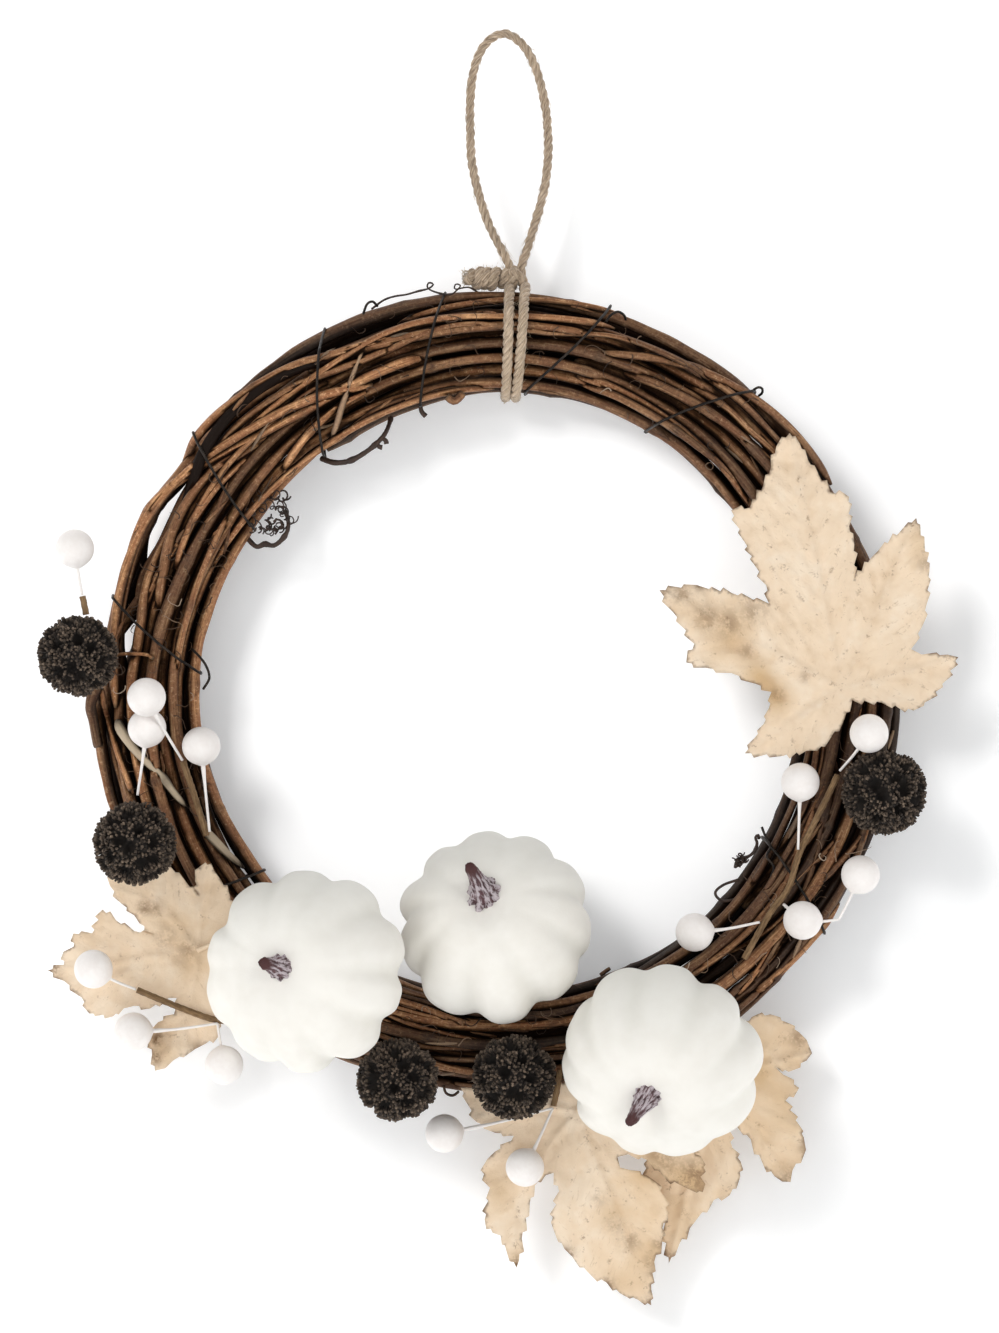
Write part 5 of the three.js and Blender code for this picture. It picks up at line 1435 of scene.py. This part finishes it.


# Maple leaves, in millimetres across and up from where each one's ribs meet. Tan and shade spots, stains
# and curls are places with a width and a strength or height; the tan and shade spots are ochre tint and
# painted shade in folds and under a pumpkin. Folds are lines with a height and a width, a stalk has its
# depth between, and each lobe is its edge up to the next one. A bow is where a lobe's rib bends.
LEAVES = {
    "leaf_bottom_back": dict(
        at=(80.5, -143.8), tan=0.36, seed=3,
        stalk=[(0, 0, 0), (-4, -5, 9), (-8, -12.5, 24)],
        tan_and_shade_spots=[(28, -16, 10, 0.2), (-16, -62, 12, 0.25), (14, 0, 14, 0.3)],
        stains=[(31, 14, 4, 0.6), (34, -28, 3, 0.6), (-18, -71, 3, 1.0), (27, -40, 4, 0.5),
                (10, -50, 4, 0.4)],
        folds=[(8, 17, 27, 3, -1.6, 2.2), (14, 22, 33, 12, 1.3, 2.0), (20, 1, 33, -22, 1.2, 3.0),
               (8, -25, -12, -60, -1.0, 3.0)],
        curls=[(30, 10, 9, 3.5), (30, -32, 8, 3.0), (-18, -66, 8, -3.0)],
        lobes=[
            [(5, 14), (13, 22), (20, 23), (26, 20), (31, 16), (34, 13), (36, 8), (34, 5), (27, 1)],
            [(22, 3), (25, 0), (31, -5), (26, -10), (31, -19), (33, -24), (34, -29), (29, -37),
             (28, -41), (25, -41), (22, -39), (17, -33), (13, -25), (7, -19)],
            [(4, -20), (6, -28), (9, -33), (9, -39), (5, -46), (-1, -48), (-7, -55), (-10, -59),
             (-14, -65), (-18, -72), (-20, -59), (-19, -55), (-20, -48), (-24, -43), (-28, -38)],
            [(-24, -30), (-29, -23), (-34, -15), (-31, -8), (-24, -4)]]),
    "leaf_bottom_front": dict(
        at=(27.7, -157.2), tan=0.1, seed=5,
        stalk=[(0, 0, 0), (2, -3, 10), (4, -6, 24)],
        tan_and_shade_spots=[(18, -38, 13, 0.3), (-31, -28, 7, 0.45), (44, -26, 9, 0.8), (26, -20, 8, 0.6),
                (20, -62, 10, 0.35), (30, -55, 6, 0.5), (-24, -56, 6, 0.4)],
        stains=[(-23, -58, 3.5, 1.0), (27, -74, 3, 0.9), (-4, -54, 3, 0.8), (11, -66, 3, 0.8),
                (31, -50, 3, 0.6), (-36, -27, 2.5, 0.6), (44, -24, 7, 0.75), (32, -16, 8, 0.5),
                (22, -12, 6, 0.4), (29, -62, 3, 0.5), (20, -49, 4, 0.5), (28, -57, 3, 0.55),
                (14, -43, 3.5, 0.4), (8, -33, 3, 0.35), (47, -31, 4, 0.9)],
        folds=[(4, -14, 20, -62, -1.1, 3.0), (18, -24, 30, -36, 1.2, 2.5),
               (-14, -26, -26, -40, 1.0, 2.5), (-12, -2, -34, 3, -0.9, 2.5)],
        curls=[(44, -20, 12, -5.0), (-22, -52, 9, -3.5), (26, -68, 9, 3.0)],
        bows={2: (-26, -26)},
        lobes=[
            [(12, 4), (16, -6), (26, -10), (36, -12), (46, -16), (48, -22), (46, -24), (48, -27),
             (47, -30), (42, -29), (38, -27), (32, -24), (26, -18), (19, -16)],
            [(15, -17), (16, -21), (20, -22), (26, -24), (29, -26), (32, -31), (34, -38), (32, -44),
             (32, -49), (29, -57), (28, -68), (28, -74), (23, -72), (16, -69), (11, -65), (4, -61),
             (-2, -55), (-5, -52), (-9, -45), (-10, -42), (-7, -30)],
            [(-9, -23), (-12, -24), (-16, -28), (-18, -35), (-21, -48), (-22, -56), (-23, -59),
             (-27, -52), (-29, -47), (-32, -46), (-35, -41), (-33, -29), (-36, -26), (-34, -18),
             (-31, -15)],
            [(-25, -11), (-24, -9), (-31, -8), (-38, -4), (-41, 2), (-44, 9), (-35, 10), (-25, 6),
             (-16, 8), (-8, 12)]]),
    "leaf_left": dict(
        at=(-114.6, -95.8), tan=0.14, seed=9,
        stalk=[(0, 0, 0), (7, -2, 3), (15, -5, 6)],
        tan_and_shade_spots=[(0, 0, 9, 0.3), (-14, -38, 8, 0.3), (-10, 10, 6, 0.25), (-44, 8, 8, 0.15)],
        stains=[(-20, 16, 3, 0.7), (-16, 16, 2.5, 0.6), (-15, -33, 3, 1.0), (-16, -40, 3, 0.9),
                (0, -37, 3, 0.7), (-57, -8, 4, 1.0), (-33, 38, 3, 0.6), (-12, 4, 5, 0.4),
                (-4, 0, 5, 0.5), (-15.1, -34, 1.6, 1.3), (-15.1, -40, 1.4, 1.2), (-1, -38.5, 1.8, 1.3)],
        folds=[(-14, 2, 0, -8, 1.2, 1.8), (-12, 8, 4, -2, -1.0, 1.8), (-18, -4, -40, -14, -1.1, 3.0),
               (-14, 18, -28, 32, 1.0, 2.5), (0, -20, -12, -40, -1.3, 3.0)],
        curls=[(-12, -40, 10, -4.0), (-50, -10, 10, 2.5), (-28, 32, 9, -2.5)],
        bows={2: (-2, -28)},
        lobes=[
            [(0, 21), (-1, 26), (-1, 30), (3, 33), (6, 30), (9, 26), (12, 21)],
            [(14, 14), (20, 8), (23, 2), (18, -7)],
            [(9, -16), (8, -24), (8, -32), (3, -35), (-1, -37), (-9, -41), (-12, -44), (-16, -45),
             (-17, -39), (-18, -32), (-15, -27), (-9, -24)],
            [(-8, -18), (-11, -18), (-18, -22), (-24, -21), (-28, -22), (-32, -25), (-41, -24),
             (-44, -18), (-51, -12), (-57, -8), (-51, -6), (-51, -1), (-47, 1), (-47, 6), (-40, 6),
             (-36, 15), (-31, 11), (-24, 7)],
            [(-16, 6), (-22, 10), (-24, 13), (-28, 17), (-33, 24), (-33, 30), (-31, 39), (-25, 37),
             (-20, 33), (-14, 33), (-10, 31), (-4, 25)]]),
    "leaf_right": dict(
        at=(126.1, 1.9), tan=0.06, seed=14,
        stalk=[(0, 1.0, 0), (0.8, 1.3, -1.4), (1.4, 1.5, -2.4)],
        tan_and_shade_spots=[(-50, 28, 9, 0.35), (-40, 17, 8, 0.5), (-31, 5, 7, 0.6), (-24, -3, 6, 0.5),
                (30, 52, 6, 0.25)],
        stains=[(-50, 27, 5, 0.55), (-42, 25, 5, 0.6), (-33, 29, 5, 0.5), (-60, 36, 4, 0.6),
                (-19, 95, 2.5, 0.4), (30.7, 62, 2.5, 0.8), (31, 47, 3, 0.45), (-35, 14.5, 3, 0.5),
                (-24, -2, 3, 0.5), (-66, 36, 3, 0.6), (-53, 39, 2.5, 0.8), (-13.7, 4.7, 2, 0.5)],
        folds=[(-32, 6, -20, -5, 2.4, 2.2), (-44, 18, -30, 12, 1.5, 1.8), (-18, 10, -42, 30, -1.2, 3.5),
               (-6, 14, -16, 60, -1.0, 4.0), (8, 16, 22, 44, -1.2, 4.0), (-6, -4, -22, -18, -1.4, 3.0)],
        curls=[(-58, 30, 12, -3.0), (-19, 88, 10, 3.0), (28, 56, 10, -3.0), (40, 10, 9, 2.5),
               (-30, -20, 9, 3.0)],
        lobes=[
            [(-27, 32), (-28, 39), (-32, 46), (-36, 55), (-41, 67), (-34, 68), (-29, 76), (-26, 83),
             (-24, 91), (-19, 96), (-15, 92), (-12, 86), (-8, 80), (-4, 74), (3, 72), (3, 61), (5, 54)],
            [(5, 41), (11, 49), (14, 52), (22, 59), (28, 64), (31, 53), (33, 44), (32, 32), (30, 23)],
            [(26, 15), (30, 13), (40, 13), (44, 12), (39, 3), (33, -4), (27, -8), (15, -5)],
            [(4, -4), (1, -11), (-4, -18), (-9, -23), (-13, -23), (-22, -25), (-36, -24), (-32, -18),
             (-29, -13), (-27, -7)],
            [(-26, -1), (-32, 2), (-41, 6), (-51, 8), (-58, 10), (-55, 17), (-63, 29), (-68, 37),
             (-54, 39), (-51, 38), (-41, 36)]]),
}
LEAF_GRID = 1.1
LEAF_STEP = 1.2
LEAF_THICKNESS = 0.5


def inside(points, outline):
    """Which points lie inside a closed outline."""
    result = np.zeros(len(points), bool)
    x, z = points[:, 0], points[:, 1]
    for (ax, az), (bx, bz) in zip(outline, np.roll(outline, -1, axis=0)):
        if az == bz:
            continue
        result ^= ((az > z) != (bz > z)) & (x < (bx - ax) * (z - az) / (bz - az) + ax)
    return result


def nearest_line(points, starts, ends):
    """How far each point is from the nearest of many short lines, which one, and how far along it."""
    along = ends - starts
    square = np.maximum((along ** 2).sum(axis=1), 1e-9)
    gaps, lines, parts = [], [], []
    for first in range(0, len(points), 1500):
        offset = points[first:first + 1500, None] - starts
        part = np.clip((offset * along).sum(axis=2) / square, 0, 1)
        gap = np.linalg.norm(offset - part[:, :, None] * along, axis=2)
        best = gap.argmin(axis=1)
        row = np.arange(len(best))
        gaps.append(gap[row, best])
        lines.append(best)
        parts.append(part[row, best])
    return np.concatenate(gaps), np.concatenate(lines), np.concatenate(parts)


def closed_lobes(leaf):
    """Each lobe's edge, with the first place of the next one."""
    lobes = leaf["lobes"]
    return [[np.array(place, float) for place in lobe + after[:1]]
            for lobe, after in zip(lobes, lobes[1:] + lobes[:1])]


def leaf_outline(leaf, random_):
    """The leaf's edge with its small sharp teeth, which all point towards the lobe's tip."""
    edge = []
    for places in closed_lobes(leaf):
        tip = max(range(len(places)), key=lambda k: float(np.hypot(*places[k])))
        for k, (a, b) in enumerate(zip(places[:-1], places[1:])):
            edge.append(a)
            length = np.linalg.norm(b - a)
            out = np.array([-(b - a)[1], (b - a)[0]]) / length
            teeth = int(length / random_.uniform(4.2, 5.6))
            parts = teeth + 0.4
            for tooth in range(teeth):
                size = random_.uniform(0.7, 1.5)
                steps = [((tooth + 0.80) / parts, size), ((tooth + 0.98) / parts, -0.2)]
                if k >= tip:
                    foot = 1 - (teeth - tooth) / parts
                    steps = [(foot, -0.2), (foot + 0.18 / parts, size)]
                edge += [a + (b - a) * at + out * far for at, far in steps]
    dense = []
    for a, b in zip(edge, edge[1:] + edge[:1]):
        steps = max(1, int(math.ceil(np.linalg.norm(b - a) / LEAF_STEP)))
        dense.extend(a + (b - a) * k / steps for k in range(steps))
    return np.array(dense)


def leaf_veins(leaf, outline, random_):
    """The main ribs, and the side veins that run from them towards the teeth, as lines of places."""
    ribs, sides = [], []
    for i, places in enumerate(closed_lobes(leaf)):
        end = max(places, key=lambda p: math.hypot(*p))
        bend = np.array(leaf.get("bows", {}).get(i, end / 2), float)
        t = np.linspace(0, 1, int(np.linalg.norm(end) / LEAF_STEP) + 2)[:, None]
        ribs.append(2 * t * (1 - t) * bend + t * t * end)
    for rib in ribs:
        length = np.linalg.norm(rib[-1])
        others = np.concatenate([other[4:] for other in ribs if other is not rib])
        at, side = random_.uniform(8, 11), random_.choice((-1, 1))
        while at < length * 0.88:
            k = int(at / length * (len(rib) - 1))
            forward = unit(rib[min(k + 1, len(rib) - 1)] - rib[max(k - 1, 0)])
            angle = side * math.radians(random_.uniform(36, 48))
            point, line = rib[k].copy(), [rib[k].copy()]
            for step in range(40):
                turn = angle * (1 - 0.022 * step)
                way = np.array([forward[0] * math.cos(turn) - forward[1] * math.sin(turn),
                                forward[0] * math.sin(turn) + forward[1] * math.cos(turn)])
                point = point + LEAF_STEP * way
                if np.linalg.norm(others - point, axis=1).min() < 3:
                    break
                line.append(point.copy())
            line = np.array(line)
            within = inside(line, outline)
            line = line[:len(line) if within.all() else int(np.argmin(within))]
            if len(line) > 5:
                sides.append(line[:-1])
            at += random_.uniform(3.8, 5.6)
            side = -side
    return ribs, sides


def joined(lines):
    """The short lines that make up many lines of places: starts, ends, and each one's line and step."""
    starts = np.concatenate([line[:-1] for line in lines])
    ends = np.concatenate([line[1:] for line in lines])
    number = np.concatenate([np.full(len(line) - 1, i) for i, line in enumerate(lines)])
    step = np.concatenate([np.arange(len(line) - 1) for line in lines])
    return starts, ends, number, step


def leaf_mesh(outline, ribs, sides, random_):
    """A leaf's flat mesh: even inside, with rows of points along its veins."""
    low, high = outline.min(axis=0), outline.max(axis=0)
    columns = np.arange(low[0], high[0], LEAF_GRID)
    rows = np.arange(low[1], high[1], LEAF_GRID * 0.87)
    grid = np.array([(x + (LEAF_GRID / 2 if r % 2 else 0) + random_.uniform(-0.2, 0.2),
                      z + random_.uniform(-0.2, 0.2)) for r, z in enumerate(rows) for x in columns])
    lines = []
    for line, apart in [(rib, 0.8) for rib in ribs] + [(side, 0.65) for side in sides]:
        way = unit(np.gradient(line, axis=0))
        across = np.stack([-way[:, 1], way[:, 0]], axis=1)
        lines += [line, line + across * apart, line - across * apart]
    cells, kept = set(), []
    for point in np.concatenate(lines):
        cell = (round(point[0] / 0.5), round(point[1] / 0.5))
        if not any((cell[0] + i, cell[1] + k) in cells for i in (-1, 0, 1) for k in (-1, 0, 1)):
            cells.add(cell)
            kept.append(point)
    kept = np.array(kept)
    closed = np.roll(outline, -1, axis=0)

    def off_edge(points, gap):
        points = points[inside(points, outline)]
        return points[nearest_line(points, outline, closed)[0] > gap]

    grid, kept = off_edge(grid, 0.55), off_edge(kept, 0.4)
    grid = grid[nearest_line(grid, kept, kept)[0] > 0.6]
    places = np.concatenate([outline, grid, kept])
    rim = list(range(len(outline)))[::-1]
    found = delaunay_2d_cdt([Vector(p) for p in places], [], [rim], 1, 1e-4)
    flat = np.array([tuple(v) for v in found[0]])
    faces = [list(face) for face in found[2]]
    a, b, c = flat[faces[0]][:3]
    if np.cross(b - a, c - a) < 0:
        faces = [face[::-1] for face in faces]
    return flat, faces


def soft_noise(places, size, seed):
    return np.array([noise.noise(Vector((x / size, z / size, seed))) for x, z in places])


def add_leaf(name, leaf):
    seed, random_ = leaf["seed"], random.Random(leaf["seed"])
    outline = leaf_outline(leaf, random_)
    ribs, sides = leaf_veins(leaf, outline, random_)
    flat, faces = leaf_mesh(outline, ribs, sides, random_)
    count = len(flat)
    rim_gap = nearest_line(flat, outline, np.roll(outline, -1, axis=0))[0]
    starts, ends, number, step = joined(ribs)
    rib_gap, nearest, part = nearest_line(flat, starts, ends)
    way = unit(ends - starts)[nearest]
    off = flat - starts[nearest]
    across = off[:, 0] * -way[:, 1] + off[:, 1] * way[:, 0]
    along = (step[nearest] + part) * LEAF_STEP
    slant, hand = math.radians(42), np.where(across < 0, -1, 1)
    grain = np.stack([np.abs(across) * math.cos(slant) - along * math.sin(slant),
                      37.0 * number[nearest] + 11 * hand,
                      along * math.cos(slant) + np.abs(across) * math.sin(slant)], axis=1)
    side_gap = nearest_line(flat, *joined(sides)[:2])[0]
    depth = leaf_depth(name, leaf, flat, faces)
    depth -= 0.75 * hump(rib_gap, 1.1) - 0.35 * hump(rib_gap - 2.8, 1.2)
    depth -= 0.34 * hump(side_gap, 0.9) - 0.18 * hump(side_gap - 2.2, 0.9)
    depth += 1.3 * soft_noise(flat, 14, seed) + 0.45 * soft_noise(flat, 5, seed + 7)
    depth += 1.5 * soft_noise(flat, 8, seed + 20) * np.exp(-rim_gap / 3.0)
    for ax, az, bx, bz, height, width in leaf["folds"]:
        gap, _, part = nearest_line(flat, np.array([[ax, az]], float), np.array([[bx, bz]], float))
        depth += height * hump(gap, width) * np.sin(math.pi * np.clip(part, 0.02, 0.98)) ** 0.5
    for x, z, reach, height in leaf["curls"]:
        depth += height * spot(flat, x, z, reach)
    tan, stain = np.full(count, float(leaf["tan"])), np.zeros(count)
    # Painted shade: these spots darken the tan in folds and under a pumpkin, besides the leaf's ochre tint.
    for x, z, reach, strength in leaf["tan_and_shade_spots"]:
        tan += 1.3 * strength * spot(flat, x, z, reach)
    tan = np.clip(tan + 0.35 * soft_noise(flat, 11, seed + 40) * (tan > leaf["tan"] + 0.05), 0, 1)
    for x, z, reach, strength in leaf["stains"]:
        stain = np.maximum(stain, strength * spot(flat, x, z, reach))
    vein = np.maximum(hump(rib_gap, 0.9), 0.8 * hump(side_gap, 0.7))
    at_x, at_z = leaf["at"]
    front = np.stack([flat[:, 0] + at_x, depth - LEAF_THICKNESS / 2, flat[:, 1] + at_z], axis=1)
    edges = {(a, b) for face in faces for a, b in zip(face, face[1:] + face[:1])}
    walls = [[b, a, a + count, b + count] for a, b in sorted(edges) if (b, a) not in edges]
    skin = Skin()
    skin.add(np.concatenate([front, front + [0, LEAF_THICKNESS, 0]]),
             faces + [[c + count for c in face[::-1]] for face in faces] + walls,
             grain=np.concatenate([grain, grain + [0, 5, 0]]), vein=np.tile(vein, 2),
             rim=np.tile(hump(rim_gap, 0.45), 2), stain=np.tile(stain, 2), tan=np.tile(tan, 2),
             under=np.repeat([0, 1], count))
    foot = depth[np.argmin(np.hypot(flat[:, 0], flat[:, 1]))]
    stalk = smooth_path([(x + at_x, y + foot, z + at_z) for x, y, z in leaf["stalk"]], 0.8)
    skin.add_tube(stalk, np.linspace(0.95, 0.8, len(stalk)), 8, vein=0.3, rim=0, stain=0,
                  tan=leaf["tan"] + 0.2, under=0)
    skin.build("cloth_" + name, LEAF, "leaf", [name])


def leaf_depth(name, leaf, flat, faces):
    """The depth of a leaf's solid at each place of its fine mesh, without the solid's corners."""
    mesh = bpy.data.objects[name].data
    corners = [Vector((np.array(v.co) / MM - RING_MIDDLE).tolist()) for v in mesh.vertices]
    tree = BVHTree.FromPolygons(corners, [list(p.vertices) for p in mesh.polygons])
    depth = np.empty(len(flat))
    for i, (x, z) in enumerate(flat):
        x, z = x + leaf["at"][0], z + leaf["at"][1]
        hit = tree.ray_cast(Vector((x, -200, z)), Vector((0, 1, 0)))[0]
        if hit is None:
            close = tree.find_nearest(Vector((x, -30, z)))[0]
            hit = tree.find_nearest(Vector((x, close.y, z)))[0]
        depth[i] = hit.y + 0.4
    beside = defaultdict(set)
    for face in faces:
        for a, b in zip(face, face[1:] + face[:1]):
            beside[a].add(b)
            beside[b].add(a)
    pairs = np.array([(a, b) for a in beside for b in beside[a]])
    number = np.bincount(pairs[:, 0], minlength=len(flat))
    for _ in range(14):
        total = np.bincount(pairs[:, 0], weights=depth[pairs[:, 1]], minlength=len(flat))
        depth = 0.4 * depth + 0.6 * total / np.maximum(number, 1)
    return depth


loop = add_loop()
canes, cane_pieces = add_canes()
laid, laid_piece = add_laid_canes(canes)
canes += laid
twigs = add_twigs(canes)
paint_gap_shade(cane_pieces + [laid_piece, twigs], 7.0)
add_shreds(canes)
add_rootlets(canes)
add_tendrils()
add_wires(canes)
add_jute(canes, loop)
for pumpkin_name, pumpkin in PUMPKINS.items():
    add_pumpkin(pumpkin_name, **pumpkin)
for pod_number, pod in enumerate(PODS):
    add_pod(pod, pod_number)
add_sprays()
for leaf_name, leaf_plan in LEAVES.items():
    add_leaf(leaf_name, leaf_plan)

add_lamp("left_lamp", (-1.45, -1.2, 0.55), 1.0, 11.2, (1.0, 0.985, 0.955), "EXCLUDE")
add_lamp("right_lamp", (1.45, -1.2, 0.45), 1.2, 11.4, (1.0, 0.98, 0.95), "EXCLUDE")
add_lamp("front_lamp", (0.1, -1.75, -0.55), 0.8, 5.0, (1.0, 0.985, 0.965), "EXCLUDE", (0, 0, -0.28))
add_lamp("wall_lamp", (-0.90, -1.6, 0.62), 0.6, 25, (1.0, 0.99, 0.98), "INCLUDE")
add_lamp("wall_halo_lamp", (-0.1, -1.6, -0.1), 1.6, 6, (1.0, 1.0, 1.0), "INCLUDE")
add_lamp("back_lamp", (0.3, 1.3, 0.6), 1.0, 14, (1.0, 1.0, 1.0))

WALL_DEPTH = 0.0215
FLOOR_BELOW = -0.62


def add_stage():
    bpy.ops.mesh.primitive_plane_add(size=6, location=(0, WALL_DEPTH, 0), rotation=(math.radians(90), 0, 0))
    wall = bpy.context.object
    wall.name = "wall"
    wall.data.materials.append(stage_material("wall_paint", (0.88, 0.88, 0.88), one_sided=True))
    bpy.ops.mesh.primitive_plane_add(size=8, location=(0, 0, FLOOR_BELOW))
    floor = bpy.context.object
    floor.name = "floor"
    floor.data.materials.append(stage_material("floor_paint", (0.88, 0.88, 0.87)))
    for plane in (wall, floor):
        plane.select_set(True)
        bpy.context.view_layer.objects.active = plane
        bpy.ops.object.transform_apply(location=True, rotation=True, scale=True)
        plane.select_set(False)
    # The wall and floor have two lamps of their own, and the lamps in front leave them out, so that the
    # shadows on the wall stay small and soft.
    for lamp, state in LAMPS_LINKED:
        lit = bpy.data.collections.new(lamp.name + "_lit")
        lit.objects.link(wall)
        lit.objects.link(floor)
        lamp.light_linking.receiver_collection = lit
        for member in lit.collection_objects:
            member.light_linking.link_state = state


add_stage()
world = bpy.data.worlds.new("studio")
world.use_nodes = True
background = world.node_tree.nodes["Background"]
background.inputs["Color"].default_value = (1, 1, 1, 1)
background.inputs["Strength"].default_value = 0.30
bpy.context.scene.world = world
bpy.context.scene.view_settings.view_transform = "Standard"
